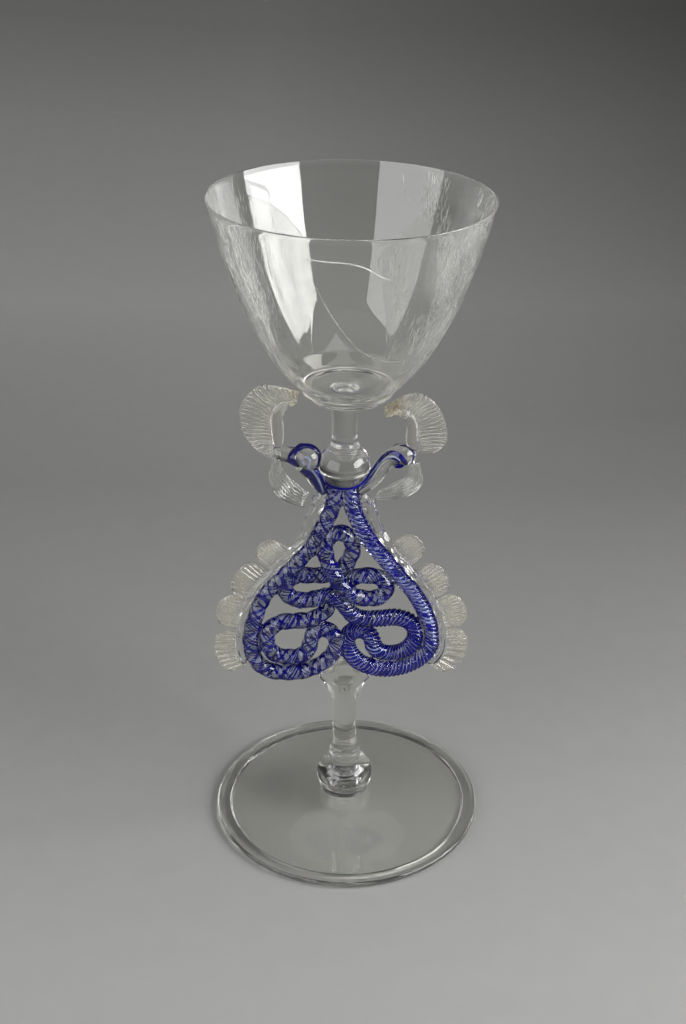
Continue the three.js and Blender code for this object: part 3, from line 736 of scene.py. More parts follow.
def frosted_crack():
    """Cracks in the bowl's wall"""
    return material("frosted crack", frosted)


def drawn_thread(tree, base):
    """Coloured glass drawn into a thread: it lies in clear glass, so it has no sheen, only a colour that varies"""
    place = add_node(tree, "ShaderNodeTexCoord").outputs["Object"]
    cloud = add_node(tree, "ShaderNodeTexNoise", inputs={"Vector": place, "Scale": per_metre(1.5), "Detail": 2.0})
    tone = add_node(tree, "ShaderNodeMix", {"data_type": "RGBA"}, {
        "Factor": cloud, MIX_FIRST: shade(base, 0.1), MIX_SECOND: shade(base, 1.25),
    })
    return add_node(tree, "ShaderNodeBsdfPrincipled", inputs={
        "Base Color": tone.outputs[MIX_RESULT], "Roughness": 0.3, "IOR": 1.0,
    })


def blue_thread_glass():
    """Cobalt glass thread, deep blue"""
    return material("cobalt glass thread", drawn_thread, colours().blue)


def deep_thread_glass():
    """Cobalt glass laid on thick, as on the necks: nearly black where it is deepest"""
    return material("deep cobalt glass thread", drawn_thread, shade(colours().blue, 0.5))


def pale_thread_glass():
    """Milk glass thread, pale blue where the cobalt shines through it"""
    return material("milk glass thread", drawn_thread, colours().pale)


def unseen(tree):
    """No surface at all"""
    return add_node(tree, "ShaderNodeBsdfPrincipled", inputs={"Base Color": (1.0, 1.0, 1.0, 1.0), "Alpha": 0.0})


def joint_face():
    """Where two pieces were fused hot there is no surface between them, so these faces don't show"""
    return material("fused joint", unseen)


def matt_paper(tree):
    """Matt studio paper with a faint mottle, and painted light and shade: pale by the goblet, darker far behind it and
    to its right
    """
    place = add_node(tree, "ShaderNodeTexCoord").outputs["Object"]
    mottle = add_node(tree, "ShaderNodeTexNoise", inputs={"Vector": place, "Scale": per_metre(12), "Detail": 4.0})
    tone = add_node(tree, "ShaderNodeMix", {"data_type": "RGBA"}, {
        "Factor": mottle, MIX_FIRST: shade(colours().paper, 0.96), MIX_SECOND: shade(colours().paper, 1.04),
    })
    parts = add_node(tree, "ShaderNodeSeparateXYZ", inputs={"Vector": place})
    near, far = -0.3, 1.5
    behind = add_node(tree, "ShaderNodeMapRange", inputs={
        "Value": parts.outputs["Y"], "From Min": near, "From Max": far,
    })
    # Painted shade and light: darker going back from the goblet, lighter again where the paper curves up, darker
    # towards the top
    fade = add_node(tree, "ShaderNodeValToRGB", inputs={"Fac": behind})
    ramp = fade.color_ramp
    for metres, level in (
        (-0.1, 0.96), (0, 0.835), (0.1, 0.735), (0.3, 0.66), (0.42, 0.78), (0.61, 1), (0.93, 0.79), (1.12, 0.55),
    ):
        stop = ramp.elements.new((metres - near) / (far - near))
        stop.color = (level, level, level, 1.0)
    ramp.elements[0].color = (1.0, 1.0, 1.0, 1.0)
    ramp.elements[-1].color = (0.35, 0.35, 0.35, 1.0)
    # Painted shade: darker far behind the goblet and to its right
    to_right = add_node(tree, "ShaderNodeMapRange", inputs={
        "Value": parts.outputs["X"], "From Min": -0.08, "From Max": 0.48, "To Max": 0.78,
    })
    beyond = add_node(tree, "ShaderNodeMapRange", inputs={
        "Value": parts.outputs["Y"], "From Min": 0.05, "From Max": 0.4,
    })
    painted_shade_right = add_node(tree, "ShaderNodeMath", {"operation": "MULTIPLY"}, {0: to_right, 1: beyond})
    light = add_node(tree, "ShaderNodeMath", {"operation": "SUBTRACT"}, {0: 1.0, 1: painted_shade_right})
    level = add_node(tree, "ShaderNodeMath", {"operation": "MULTIPLY"}, {0: fade, 1: light})
    painted_shade_tone = add_node(tree, "ShaderNodeMix", {"data_type": "RGBA"}, {
        "Factor": level, MIX_FIRST: (0.0, 0.0, 0.0, 1.0), MIX_SECOND: tone.outputs[MIX_RESULT],
    })
    return add_node(tree, "ShaderNodeBsdfPrincipled", inputs={
        "Base Color": painted_shade_tone.outputs[MIX_RESULT], "Roughness": 0.9,
    })


# Shapes that several pieces share


def cane_points():
    """The points that the cane's centre line runs through"""
    sizes = bpy.context.scene.goblet_sizes
    figure_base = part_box("serpent_cane")[0].z + sizes.cane_radius * math.cos(math.pi / 8)
    points = np.array(CANE_SHARES, float)[:, [0, 2, 1]]
    points = points * [sizes.figure_half_width, sizes.cane_radius, sizes.figure_height]
    return points + [stem_place().translation.x, 0, figure_base]


def cane_tube(radius, rings, sides, ribbed):
    """The cane as one plain or ribbed tube that passes through itself where its runs touch"""
    sizes = bpy.context.scene.goblet_sizes
    shares = np.linspace(0, 1, rings)
    place, heading = along(cane_points(), shares)
    spread = np.full((rings, sides), radius)
    if ribbed:
        twist, bunch = (values[:, None] for values in thread_twist(shares))
        turn = around(sides)[None] - twist
        relief = (1 - bunch) * np.cos(5 * turn) + 0.3 * bunch * np.cos(2 * turn)
        spread += sizes.rib_height * relief - sizes.rib_height / 2
    return lofted(place[:, None] + spread[..., None] * ring_ways(*ring_frame(heading), sides))


def thread_twist(shares):
    """How far the threads have turned at shares of the cane's length, and how bunched they are into two bundles"""
    sizes = bpy.context.scene.goblet_sizes
    tight = eased(0.59, 0.69, FINE) * (1 - 0.85 * eased(0.85, 0.985, FINE))
    pitch = sizes.open_pitch * (sizes.tight_pitch / sizes.open_pitch) ** tight
    cane_run = curve_length(cane_points())
    turned_by = np.concatenate([[0], np.cumsum((1 / pitch)[1:] * np.diff(FINE))]) * cane_run * TAU
    return np.interp(shares, FINE, turned_by), 1 - eased(0.57, 0.7, shares)


def thread_tubes(radius, sides, shift, thinning, dimming):
    """The cane's threads as closed tubes: eight that cross in a lattice on the left, ten in five bands on the right"""
    sizes = bpy.context.scene.goblet_sizes
    cane_run = curve_length(cane_points())
    turns, bunching = thread_twist(FINE)
    # Twenty rings a turn
    ring_shares = np.interp(np.arange(0.0, turns[-1], TAU / 20), turns, FINE)
    shares = np.unique(np.concatenate([[0.0], ring_shares, [1.0]]))
    place, heading = along(cane_points(), shares)
    side, back = ring_frame(heading)
    twist, bunch = thread_twist(shares)
    # On the left every second thread winds the other way, which makes a lattice of crossings
    turned_back = np.cumsum(np.diff(turns) * (1 - 2 * eased(0.3, 0.7, bunching[1:])))
    counter_twist = np.interp(shares, FINE, np.concatenate([[0], turned_back]))
    flank = eased(0.82, 0.88, shares)
    lie = sizes.cane_radius - sizes.thread_depth * (1 - flank) - sizes.flank_depth * flank
    band_width, bundle_width, wander_width = (math.radians(degrees) for degrees in (24, 26, 13))
    bodies = []
    for number in range(10):
        crossing = number % 2
        banded = (number // 2) * TAU / 5 + (crossing - 0.5) * band_width + shift * TAU / 10
        bundled = (number // 4) * TAU / 3 + (number // 2 % 2 - 0.5) * bundle_width + shift * TAU / 6
        wander = wander_width * np.sin(shares * cane_run / ((4.3 + 0.8 * number) * MM) + 1.7 * number + shift)
        hand = counter_twist if crossing else twist
        turn = hand + banded * (1 - bunch) + bundled * bunch + wander * (0.25 + 0.75 * bunch)
        sunk = (0.05 + 0.24 * bunch) * crossing + 0.05 * np.sin(shares * cane_run / (5.1 * MM) + 2.3 * number)
        depth = lie * (1 - sunk)
        radial = side * np.cos(turn)[:, None] + back * np.sin(turn)[:, None]
        line = place + radial * depth[:, None]
        way = unit(np.gradient(line, axis=0))
        across = unit(np.cross(way, radial))
        thick = radius * (1 - thinning * bunch) * (1 - dimming * (1 - bunch) * crossing)
        if number > 7:
            # The last two fade out on the left
            thick = thick * (1 - 0.96 * bunch)
        bodies.append(lofted(line[:, None] + thick[:, None, None] * ring_ways(across, np.cross(across, way), sides)))
    return joined(bodies)


def swept_tube(line, radii, sides, steps):
    """A round tube along a smooth curve, with a radius for each of the curve's points"""
    shares = np.linspace(0, 1, steps)
    place, heading = along(line, shares)
    walked = walked_along(line)
    width = np.interp(shares, walked / walked[-1], radii)
    width = np.convolve(np.pad(width, 3, mode="edge"), np.ones(7) / 7, mode="valid")
    return lofted(place[:, None] + width[:, None, None] * ring_ways(*ring_frame(heading), sides))


def plate(inner, outer, half_depth):
    """A plate between two lines of points; half_depth gives half its thickness at shares along and across"""
    across = np.concatenate([np.linspace(0, 0.86, 30), 0.86 + 0.14 * np.sin(np.linspace(0, math.pi / 2, 12))[1:]])
    shares = np.linspace(0, 1, len(inner))
    deep = half_depth(shares[:, None], across[None])
    front = inner[:, None] + (outer - inner)[:, None] * across[None, :, None]
    back = front.copy()
    front[..., 1] -= deep
    back[..., 1] += deep
    return lofted(np.concatenate([front, back[:, ::-1]], axis=1))


def figure_top():
    """The top of the cane's figure, from which the heads are measured: how far to the right, and how high"""
    return stem_place().translation.x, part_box("serpent_cane")[1].z


def fan_line(side, shares, height, count):
    """Points along a smooth line beside a head, through shares of a fan's width out and of a height up"""
    x, top = figure_top()
    points = [
        (x + SIDES[side] * (HEAD_REACH + out * FAN_WIDTH), 0, top + HEAD_RISE + up * height) for out, up in shares
    ]
    return along(np.array(points), np.linspace(0, 1, count))[0]


def neck_body(side, gap):
    """A neck, grown by a gap"""
    x, top = figure_top()
    line = [(x + SIDES[side] * out * HEAD_REACH, 0, top + up * HEAD_RISE) for out, up, _ in NECK_SHARES[side]]
    radii = [share * bpy.context.scene.goblet_sizes.neck_radius + gap for _, _, share in NECK_SHARES[side]]
    return swept_tube(np.array(line), radii, sides=40, steps=90)


def neck_threads(side, threads):
    """The threads that run up a neck"""
    x, top = figure_top()
    bodies = []
    for thread in threads:
        line = [(x + SIDES[side] * out * MM, -front * MM, top + up * MM) for out, up, front, _ in thread]
        bodies.append(swept_tube(np.array(line), [thick * MM for *_, thick in thread], sides=12, steps=100))
    return joined(bodies)


def trail_width_at(shares):
    """Width of a trail at shares of its way down"""
    sizes = bpy.context.scene.goblet_sizes
    fall = np.clip(shares / 0.35, 0, 1)
    taper = 1 - 0.55 * np.clip(-shares / TRAIL_RUN_ON, 0, 1)
    return (sizes.trail_top + (sizes.trail_width - sizes.trail_top) * fall) * taper


def flank_points(side, shares, out):
    """Points beside the cane's flank, at shares of the trail's way down and distances from the cane's centre line"""
    start, end = TRAIL_SHARES[side]
    asked = start + (end - start) * shares
    place, heading = along(cane_points(), asked)
    away = unit(np.stack([-heading[:, 2], np.zeros(len(asked)), heading[:, 0]], 1))
    away *= np.where(away[:, :1] * SIDES[side] < 0, -1, 1)
    place[:, 1] = 0
    return place + away * np.broadcast_to(out, asked.shape)[:, None]


def cane_cutter(gap):
    """The fused cane, grown by a gap, as a tool that trims what lies against it"""
    sizes = bpy.context.scene.goblet_sizes
    tube = cane_tube(sizes.cane_radius + gap, rings=900, sides=24, ribbed=False)
    return fused(mesh_object("cane_cutter", tube), 1.2 * sizes.fuse_detail)


def neck_cutter(side):
    """A neck as a tool that trims what lies against it"""
    return mesh_object("neck_cutter", neck_body(side, HEAD_GAP))


def trail_cutter(side, gap):
    """A trail, grown by a gap, as a tool that trims what lies against it"""
    return mesh_object("trail_cutter", trail_body(side, gap))


def trail_body(side, gap):
    """A flank's trail, grown by a gap: its upper end runs on beside the cane's top"""
    sizes = bpy.context.scene.goblet_sizes
    shares = np.linspace(-TRAIL_RUN_ON, 1, 320)
    half = trail_width_at(shares) / 2
    swell = 1 + 0.06 * np.sin(shares * 31) + 0.04 * np.sin(shares * 53 + 1)
    line = flank_points(side, shares, sizes.cane_radius + half - TRAIL_SINK)
    flat, back = ring_frame(unit(np.gradient(line, axis=0)))
    angle = around(60)
    low_end = np.clip((shares - 0.97) / 0.03, 0, 1)
    high_end = np.clip((-0.03 - shares) / 0.048, 0, 1)
    round_end = rounded(np.maximum(low_end, high_end), 2, 0.04)
    wide = (half + TRAIL_SINK + gap) * round_end
    deep = (TRAIL_HALF_DEPTH * swell + gap) * round_end
    strands = 6 * angle[None] + 40 * shares[:, None] + 2.2 * np.sin(17 * shares[:, None])
    relief = 1 + (0.07 * np.cos(strands) + 0.03 * np.sin(90 * shares[:, None] + 3 * angle[None])) * round_end[:, None]
    ring = (
        flat[:, None] * (relief * wide[:, None] * np.cos(angle)[None])[..., None]
        + back[:, None] * (relief * deep[:, None] * np.sin(angle)[None])[..., None]
    )
    return lofted(line[:, None] + ring)


# Operators, from the foot up


class GOBLET_OT_foot(bpy.types.Operator):
    """Adds the foot: a shallow cone with its rim folded over"""

    bl_idname = "goblet.foot"
    bl_label = "Foot"

    def execute(self, context):
        sizes = context.scene.goblet_sizes
        fold_inner = sizes.foot_radius - sizes.fold_width
        rise = sizes.foot_crown - sizes.foot_wall
        crown = FOOT_CROWN_RADIUS
        inner = [(crown + (fold_inner - crown) * out, up * rise) for out, up in FOOT_SLOPE_SHARES]
        lip = sizes.fold_height / 2
        bend = np.linspace(-math.pi / 2, math.pi / 2, 17)
        rim = [(sizes.foot_radius - lip + lip * math.cos(a), lip + lip * math.sin(a)) for a in bend]
        under = smooth_curve([(r * MM, rise + h * MM) for r, h in UNDER_CROWN] + inner[::-1], 8)
        over = smooth_curve([(r, z + sizes.foot_wall) for r, z in inner] + [(FOOT_SEAT, sizes.foot_crown)], 8)
        tuck = [(fold_inner + out * MM, up * MM) for out, up in FOLD_TUCK]
        shoulder = [(fold_inner + out * MM, sizes.fold_height * share) for out, share in FOLD_TOP_SHARES]
        body = turned(np.vstack([under, tuck, rim, shoulder, over]), 192, "last joint")
        finished(mesh_object("foot_glass", body), clear_glass(), ["foot"], body[2])
        return {"FINISHED"}


def turned_piece(node, shares, place, low, high, radius, ends, seats):
    """A knop, column or collar turned from its outline's shares, between two heights; seats are its joints' radii"""
    outline = smooth_curve([(r * radius, low + h * (high - low)) for r, h in shares], 8)
    for seat, end, beside in zip(seats, (0, -1), (1, -2)):
        if seat:
            outline[end, 0] = seat
            outline[beside, 0] = (seat + outline[2 * beside, 0]) / 2
    body = turned(outline, 112, ends)
    found = mesh_object(f"{node}_glass", body)
    found.data.transform(place)
    finished(found, solid_glass(), [node], body[2])


class GOBLET_OT_stem(bpy.types.Operator):
    """Adds the stem's clear pieces: foot knop, lower stem, shoulder knop and column"""

    bl_idname = "goblet.stem"
    bl_label = "Stem"

    def execute(self, context):
        place = stem_place()
        radius = {node: (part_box(node)[1].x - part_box(node)[0].x) / 2 for node in ("foot_knop", "shoulder_knop")}
        foot_top, knop_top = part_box("foot")[1].z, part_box("foot_knop")[1].z
        turned_piece(
            "foot_knop", FOOT_KNOP_SHARES, place, foot_top + SEAT_GAP, knop_top,
            radius["foot_knop"], "both joint", (FOOT_SEAT, STEM_SEAT),
        )
        shoulder_low, shoulder_high = (corner.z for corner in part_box("shoulder_knop"))
        turned_piece(
            "shoulder_knop", SHOULDER_KNOP_SHARES, place, shoulder_low, shoulder_high,
            radius["shoulder_knop"], "last joint", (None, COLUMN_SEAT),
        )
        column_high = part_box("upper_stem")[1].z
        turned_piece(
            "upper_stem", COLUMN_SHARES, place, shoulder_high + SEAT_GAP, column_high, COLUMN_RADIUS, "both joint",
            (COLUMN_SEAT, COLLAR_SEAT),
        )
        stem_low = knop_top + SEAT_GAP
        rings = []
        angle = around(64)
        for rise, wide, deep in smooth_curve(LOWER_STEM_SHARES, 6):
            ring = np.stack([
                LOWER_STEM_RADIUS * wide * np.cos(angle), LOWER_STEM_RADIUS * deep * np.sin(angle), np.zeros(64),
            ], 1)
            rings.append(ring + [place.translation.x, 0, stem_low + rise * LOWER_STEM_LENGTH])
        cutter = cane_cutter(STEM_GAP)
        found = trimmed(mesh_object("lower_stem_glass", lofted(np.array(rings))), solid_glass(), cutter)
        discard(cutter)
        seat = [
            face.index for face in found.data.polygons
            if face.center.z < stem_low + 0.01 * MM and face.normal.z < -0.9
        ]
        finished(found, solid_glass(), ["lower_stem"], seat)
        return {"FINISHED"}


class GOBLET_OT_cane(bpy.types.Operator):
    """Adds the serpent: the fused clear cane, and the blue and pale threads inside it"""

    bl_idname = "goblet.cane"
    bl_label = "Serpent cane"

    def execute(self, context):
        sizes = context.scene.goblet_sizes
        tube = cane_tube(sizes.cane_radius, rings=1700, sides=48, ribbed=True)
        skin = fused(mesh_object("cane_glass", tube), sizes.fuse_detail)
        finished(skin, cane_glass(), ["serpent_cane"])
        blue = thread_tubes(sizes.blue_thread, sides=6, shift=0, thinning=0.28, dimming=0.3)
        finished(mesh_object("cane_blue_threads", blue), blue_thread_glass())
        pale = thread_tubes(sizes.pale_thread, sides=5, shift=1, thinning=0.5, dimming=0)
        finished(mesh_object("cane_pale_threads", pale), pale_thread_glass())
        return {"FINISHED"}


class GOBLET_OT_necks(bpy.types.Operator):
    """Adds the two necks, each with the threads that run up it"""

    bl_idname = "goblet.necks"
    bl_label = "Necks"

    def execute(self, context):
        cane = cane_cutter(STEM_GAP)
        low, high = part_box("shoulder_knop")
        outline = [
            (r * (high.x - low.x) / 2 + STEM_GAP, low.z + h * (high.z - low.z)) for r, h in SHOULDER_KNOP_SHARES
        ]
        knop = mesh_object("knop_cutter", turned(smooth_curve(outline, 8), 96, "glass"))
        knop.data.transform(stem_place())
        for side in SIDES:
            fitted(f"{side}_neck", neck_body(side, 0), clear_glass(), "clear_glass", cane, knop)
            blue = mesh_object(f"{side}_neck_threads", neck_threads(side, NECK_THREADS[side]))
            finished(blue, deep_thread_glass())
            pale = mesh_object(f"{side}_neck_pale_threads", neck_threads(side, PALE_NECK_THREADS[side]))
            finished(pale, pale_thread_glass())
        discard(cane, knop)
        return {"FINISHED"}


class GOBLET_OT_crests(bpy.types.Operator):
    """Adds the crests over the heads: a rod, a ribbed fan and a beaded edge"""

    bl_idname = "goblet.crests"
    bl_label = "Crests"

    def execute(self, context):
        sizes = context.scene.goblet_sizes

        def half_depth(s, t):
            rod = 1.8 * MM * rounded((t - 0.13) / 0.17, 2, 0.02)
            swing = s + 0.03 * t + 0.006 * np.sin(11 * t + 19 * s)
            rib = np.abs(np.cos(math.pi * sizes.crest_ribs * swing)) ** 5
            web = (0.32 - 0.06 * t + 0.8 * rib) * MM
            bead = 0.5 * MM * rounded((t - 0.97) / 0.03, 2, 0.02)
            body = np.maximum(np.where(t < 0.3, rod, 0), np.where(t > 0.08, web, 0))
            body = np.where(t > 0.93, np.maximum(bead, web * np.clip((1 - t) / 0.07, 0.05, 1)), body)
            return body * rounded(np.abs(2 * s - 1), 14, 0.04)

        for side, lines in CREST_SHARES.items():
            rod, edge = (fan_line(side, shares, CREST_HEIGHT, 16 * sizes.crest_ribs) for shares in lines)
            neck = neck_cutter(side)
            fitted(f"{side}_crest", plate(rod, edge, half_depth), crest_glass(), "pinched_glass", neck)
            discard(neck)
        return {"FINISHED"}


class GOBLET_OT_chin_wings(bpy.types.Operator):
    """Adds the pinched wings under the heads, ribbed along their length"""

    bl_idname = "goblet.chin_wings"
    bl_label = "Chin wings"

    def execute(self, context):
        sizes = context.scene.goblet_sizes

        def half_depth(s, t):
            rib = np.abs(np.cos(math.pi * sizes.chin_ribs * t + 0.5 * np.sin(5 * s))) ** 3
            web = (0.85 - 0.2 * t + 0.45 * rib) * MM
            edge = rounded(np.clip((t - 0.88) / 0.12, 0, 1), 2, 0.03)
            root = rounded(np.clip((0.1 - t) / 0.1, 0, 1), 2, 0.1)
            return web * edge * root * rounded(np.abs(2 * s - 1), 10, 0.05)

        for side, lines in CHIN_SHARES.items():
            inner, outer = (fan_line(side, shares, CHIN_HEIGHT, 90) for shares in lines)
            cutters = neck_cutter(side), trail_cutter(side, HEAD_GAP)
            fitted(f"{side}_chin_wing", plate(inner, outer, half_depth), chin_glass(), "pinched_glass", *cutters)
            discard(*cutters)
        return {"FINISHED"}


class GOBLET_OT_trails(bpy.types.Operator):
    """Adds the clear trails laid down the cane's flanks"""

    bl_idname = "goblet.trails"
    bl_label = "Side trails"

    def execute(self, context):
        cane = cane_cutter(TRAIL_GAP)
        for side in SIDES:
            neck = neck_cutter(side)
            fitted(f"{side}_side_trail", trail_body(side, 0), clear_glass(), "clear_glass", cane, neck)
            discard(neck)
        discard(cane)
        return {"FINISHED"}


class GOBLET_OT_lobes(bpy.types.Operator):
    """Adds the lobes pincered out of the trails"""

    bl_idname = "goblet.lobes"
    bl_label = "Wing lobes"

    def execute(self, context):
        sizes = context.scene.goblet_sizes
        fullness = 2.6

        def half_depth(s, t):
            rib = np.abs(np.cos(math.pi * sizes.lobe_ribs * s)) ** 4
            web = (sizes.lobe_thickness - 1.1 * MM * t) / 2 - 0.55 * MM * (1 - rib) * eased(0, 0.12, t)
            bead = 0.6 * MM * rounded((t - 0.955) / 0.045, 2, 0.02)
            edge = rounded(np.clip((t - 0.84) / 0.1, 0, 1), 2, 0.02)
            return np.where(t > 0.91, np.maximum(bead, web * edge), web) * rounded(np.abs(2 * s - 1), 12, 0.06)

        s = np.linspace(0, 1, 16 * sizes.lobe_ribs)
        bulge = (1 - np.abs(2 * s - 1) ** fullness) ** (1 / fullness)
        for side, places in LOBE_SHARES.items():
            trail = trail_cutter(side, LOBE_GAP)
            for number, (middle, reach) in enumerate(zip(places, LOBE_REACH_SHARES[side]), 1):
                share = middle + (2 * s - 1) * LOBE_HALF_LENGTH_SHARE
                root = sizes.cane_radius + trail_width_at(share)
                inner = flank_points(side, share, root - 0.4 * MM)
                outer = flank_points(side, share, root + (0.12 + 0.88 * bulge) * reach * sizes.lobe_reach)
                lobe = plate(inner, outer, half_depth)
                fitted(f"{side}_wing_lobe_{number}", lobe, lobe_glass(number), "pinched_glass", trail)
            discard(trail)
        return {"FINISHED"}


class GOBLET_OT_bowl(bpy.types.Operator):
    """Adds the collar and the blown bowl on it, with its cracks"""

    bl_idname = "goblet.bowl"
    bl_label = "Collar and bowl"

    def execute(self, context):
        sizes = context.scene.goblet_sizes
        place = bowl_place()
        turned_piece(
            "bowl_collar", COLLAR_SHARES, place, COLLAR_LOW, COLLAR_HIGH, COLLAR_RADIUS, "both joint",
            (COLLAR_SEAT, None),
        )
        low = COLLAR_HIGH + SEAT_GAP
        # The outside follows one cubic curve, and the inside is set off from it by the wall
        controls = np.array([
            (BOWL_BASE_RADIUS, 0), (0.34 * sizes.bowl_rim, 0.06 * sizes.bowl_height),
            (0.705 * sizes.bowl_rim, 0.108 * sizes.bowl_height), (sizes.bowl_rim, sizes.bowl_height),
        ])
        t = np.linspace(0, 1, 90)[:, None]
        outer = (
            (1 - t) ** 3 * controls[0] + 3 * (1 - t) ** 2 * t * controls[1]
            + 3 * (1 - t) * t ** 2 * controls[2] + t ** 3 * controls[3]
        )
        way = unit(np.gradient(outer, axis=0))
        inward = np.stack([-way[:, 1], way[:, 0]], 1)
        drawn_thin = 1 - 0.35 * eased(0.93, 1, t[:, 0])
        wall = sizes.bowl_wall * drawn_thin + (sizes.bowl_base - sizes.bowl_wall) * (1 - t[:, 0]) ** 10
        inner = outer + inward * wall[:, None]
        bend = np.linspace(0, math.pi, 11)[1:-1]
        middle = (outer[-1] + inner[-1]) / 2
        rim = middle + wall[-1] / 2 * (np.cos(bend)[:, None] * -inward[-1] + np.sin(bend)[:, None] * way[-1])
        inside = inner[inner[:, 1] > sizes.bowl_base * 1.6][::-1]
        well = smooth_curve([inside[-1]] + [(r * MM, h * MM) for r, h in BOWL_WELL], 6)
        outline = np.vstack([[(BOWL_SEAT, 0)], outer, rim, inside, well[1:]])
        outline[:, 1] += low
        body = turned(outline, 224, "first joint")
        found = mesh_object("bowl_glass", body)
        found.data.transform(place)
        finished(found, material("crizzled soda glass", crizzled), ["bowl"], body[2])
        middle_wall = np.stack([outer[:, 1], outer[:, 0] - wall / 2])

        def on_wall(bearing, above):
            """A point in the middle of the wall, at a bearing in radians and a height above the bowl's base"""
            out = np.interp(above, *middle_wall)
            return (out * math.sin(bearing), -out * math.cos(bearing), above + low)

        bodies = []
        for crack in HAIRLINES:
            line = np.array([on_wall(math.radians(bearing), above * MM) for bearing, above in crack])
            widths = [0.06 * MM] + [0.24 * MM] * (len(line) - 2) + [0.06 * MM]
            bodies.append(swept_tube(line, widths, sides=8, steps=120))
        cracks = mesh_object("bowl_hairlines", joined(bodies))
        cracks.data.transform(place)
        finished(cracks, frosted_crack())

        # Each small crack is a pointed blade that stands across the wall, mostly upright
        draw = np.random.default_rng(11)
        blades = []
        while len(blades) < sizes.crizzle_cracks:
            near, far, lowest = CRIZZLED[draw.choice(len(CRIZZLED))]
            bearing = math.radians(draw.uniform(near, far))
            above = draw.uniform(lowest, 0.96) * sizes.bowl_height
            reach, tilt = draw.uniform(1.2, 5.2) * MM, draw.normal(0, 0.16)
            thick, deep = draw.uniform(0.07, 0.15) * MM, draw.uniform(0.14, 0.28) * MM
            cloud = math.sin(3.7 * bearing + 55 * above) + math.sin(9.1 * bearing - 150 * above + 1)
            if cloud < -0.5 or above + reach > 0.985 * sizes.bowl_height:
                continue
            rings = []
            for share, swell in ((0, 0.15), (0.3, 1), (0.7, 1), (1, 0.15)):
                up = above + share * reach * math.cos(tilt)
                turn = bearing + share * reach * math.sin(tilt) / np.interp(up, *middle_wall)
                centre = np.array(on_wall(turn, up))
                radial = np.array([math.sin(turn), -math.cos(turn), 0.0]) * deep * swell
                sideways = np.array([math.cos(turn), math.sin(turn), 0.0]) * thick * swell
                rings.append([centre + radial, centre + sideways, centre - radial, centre - sideways])
            blades.append(lofted(np.array(rings)))
        crizzle = mesh_object("bowl_crizzle", joined(blades))
        crizzle.data.transform(place)
        finished(crizzle, frosted_crack())
        return {"FINISHED"}


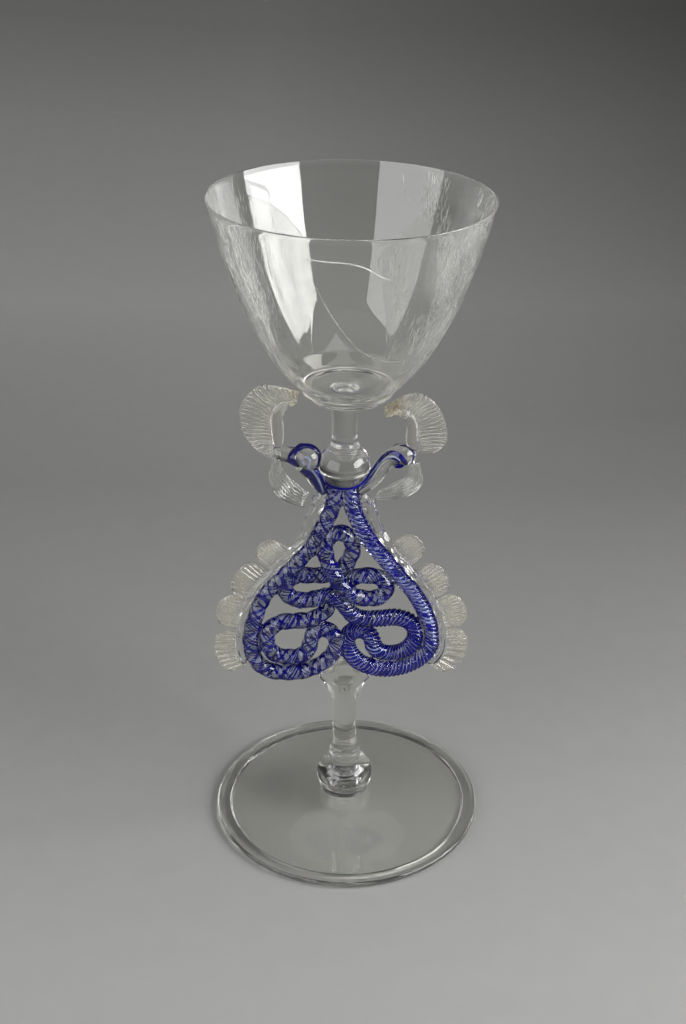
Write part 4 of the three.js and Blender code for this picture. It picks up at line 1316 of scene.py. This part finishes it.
class GOBLET_OT_stage(bpy.types.Operator):
    """Adds the camera, the paper sweep, the lamps and the room's light"""

    bl_idname = "goblet.stage"
    bl_label = "Studio"

    def execute(self, context):
        studio = context.scene.goblet_studio
        lens = bpy.data.cameras.new("camera")
        lens.sensor_width = 36.0
        lens.lens = studio.focal_length / MM
        lens.clip_start = 0.01
        camera = bpy.data.objects.new("camera", lens)
        camera.location = CAMERA_PLACE
        camera.rotation_euler = (math.pi / 2 - studio.camera_pitch, 0, 0)
        context.scene.collection.objects.link(camera)
        context.scene.camera = camera

        # The paper lies flat for 1.35 m all round, but only 0.55 m behind the goblet, and curves up beyond that
        facets = 96
        angle = around(facets)
        start = 1.35 - 0.8 * eased(0.2, 0.9, np.sin(angle))
        curved = 1.1
        # Up to 1 a step is a share of the flat part, and above it metres beyond that
        steps = np.concatenate([np.linspace(0, 1, 6), np.linspace(0, 2.3, 40)[1:] + 1])
        rings = []
        for step in steps:
            beyond = np.maximum(step - 1, 0)
            bent = np.minimum(beyond, curved)
            out = start * np.minimum(step, 1) + np.minimum(beyond, curved + 0.1 * np.sin(bent))
            rise = 0.38 * bent ** 2 + 1.6 * np.maximum(beyond - curved, 0)
            rings.append(np.stack([out * np.cos(angle), out * np.sin(angle), np.full(facets, rise - 0.05 * MM)], 1))
        rings[0][:, :2] = 0.002 * np.stack([np.cos(angle), np.sin(angle)], 1)
        faces = [
            (low + (j + 1) % facets, low + j, low + facets + j, low + facets + (j + 1) % facets)
            for low in range(0, facets * (len(steps) - 1), facets) for j in range(facets)
        ]
        mesh = bpy.data.meshes.new("paper_sweep")
        mesh.from_pydata(np.vstack(rings).tolist(), [], faces + [list(range(facets))])
        mesh.materials.append(material("matt studio paper", matt_paper))
        mesh.shade_smooth()
        floor = bpy.data.objects.new("paper_sweep", mesh)
        context.scene.collection.objects.link(floor)

        self.add_lamp("key_lamp", studio.key_power, bearing=73, distance=0.9, height=0.555, width=0.94, tall=0.57)
        self.add_lamp("fill_lamp", studio.fill_power, bearing=-53, distance=0.95, height=0.55, width=1.08, tall=0.95)
        top = self.add_lamp("top_lamp", studio.top_power, bearing=60, distance=0.35, height=1.7, width=1.2, tall=1.2)
        top.rotation_euler.x = math.radians(12)

        world = bpy.data.worlds.new("room")
        world.use_nodes = True
        world.node_tree.nodes.clear()
        light = add_node(world.node_tree, "ShaderNodeBackground", inputs={
            "Color": (1.0, 1.0, 1.0, 1.0), "Strength": studio.room_level,
        })
        add_node(world.node_tree, "ShaderNodeOutputWorld", inputs={"Surface": light})
        context.scene.world = world
        context.scene.view_settings.view_transform = "Standard"
        for kind in ("max", "transmission", "glossy", "transparent_max"):
            setattr(context.scene.cycles, f"{kind}_bounces", LIGHT_BOUNCES)
        context.scene.cycles.blur_glossy = 0.0
        return {"FINISHED"}

    def add_lamp(self, name, watts, bearing, distance, height, width, tall):
        """A soft lamp that faces the goblet, at a bearing in degrees to the right of the camera's side"""
        light = bpy.data.lights.new(name, "AREA")
        light.shape = "RECTANGLE"
        light.size = width
        light.size_y = tall
        light.energy = watts
        lamp = bpy.data.objects.new(name, light)
        angle = math.radians(bearing)
        lamp.location = (distance * math.sin(angle), -distance * math.cos(angle), height)
        lamp.rotation_euler = (math.pi / 2, 0, angle)
        lamp.visible_camera = False
        bpy.context.scene.collection.objects.link(lamp)
        return lamp


OPERATORS = (
    GOBLET_OT_stage, GOBLET_OT_foot, GOBLET_OT_stem, GOBLET_OT_cane, GOBLET_OT_necks, GOBLET_OT_crests,
    GOBLET_OT_chin_wings, GOBLET_OT_trails, GOBLET_OT_lobes, GOBLET_OT_bowl,
)


class GOBLET_PT_sidebar(bpy.types.Panel):
    """Lists the goblet's sizes, colours and pieces in the 3D view's sidebar"""

    bl_idname = "GOBLET_PT_sidebar"
    bl_label = "Goblet"
    bl_space_type = "VIEW_3D"
    bl_region_type = "UI"
    bl_category = "Goblet"

    def draw(self, context):
        layout = self.layout
        for group in (context.scene.goblet_sizes, context.scene.goblet_colours, context.scene.goblet_studio):
            box = layout.box()
            for name in group.__annotations__:
                box.prop(group, name)
        for operator in OPERATORS:
            layout.operator(operator.bl_idname)


GROUPS = {
    "goblet_sizes": GobletSizes,
    "goblet_colours": GobletColours,
    "goblet_studio": StudioSettings,
}


def register():
    for name, group in GROUPS.items():
        bpy.utils.register_class(group)
        setattr(bpy.types.Scene, name, PointerProperty(type=group))
    for operator in OPERATORS:
        bpy.utils.register_class(operator)
    bpy.utils.register_class(GOBLET_PT_sidebar)


def unregister():
    bpy.utils.unregister_class(GOBLET_PT_sidebar)
    for operator in OPERATORS:
        bpy.utils.unregister_class(operator)
    for name, group in GROUPS.items():
        delattr(bpy.types.Scene, name)
        bpy.utils.unregister_class(group)


def main():
    register()
    bpy.ops.goblet.stage()
    bpy.ops.goblet.foot()
    bpy.ops.goblet.stem()
    bpy.ops.goblet.cane()
    bpy.ops.goblet.necks()
    bpy.ops.goblet.crests()
    bpy.ops.goblet.chin_wings()
    bpy.ops.goblet.trails()
    bpy.ops.goblet.lobes()
    bpy.ops.goblet.bowl()


if __name__ == "__main__":
    main()
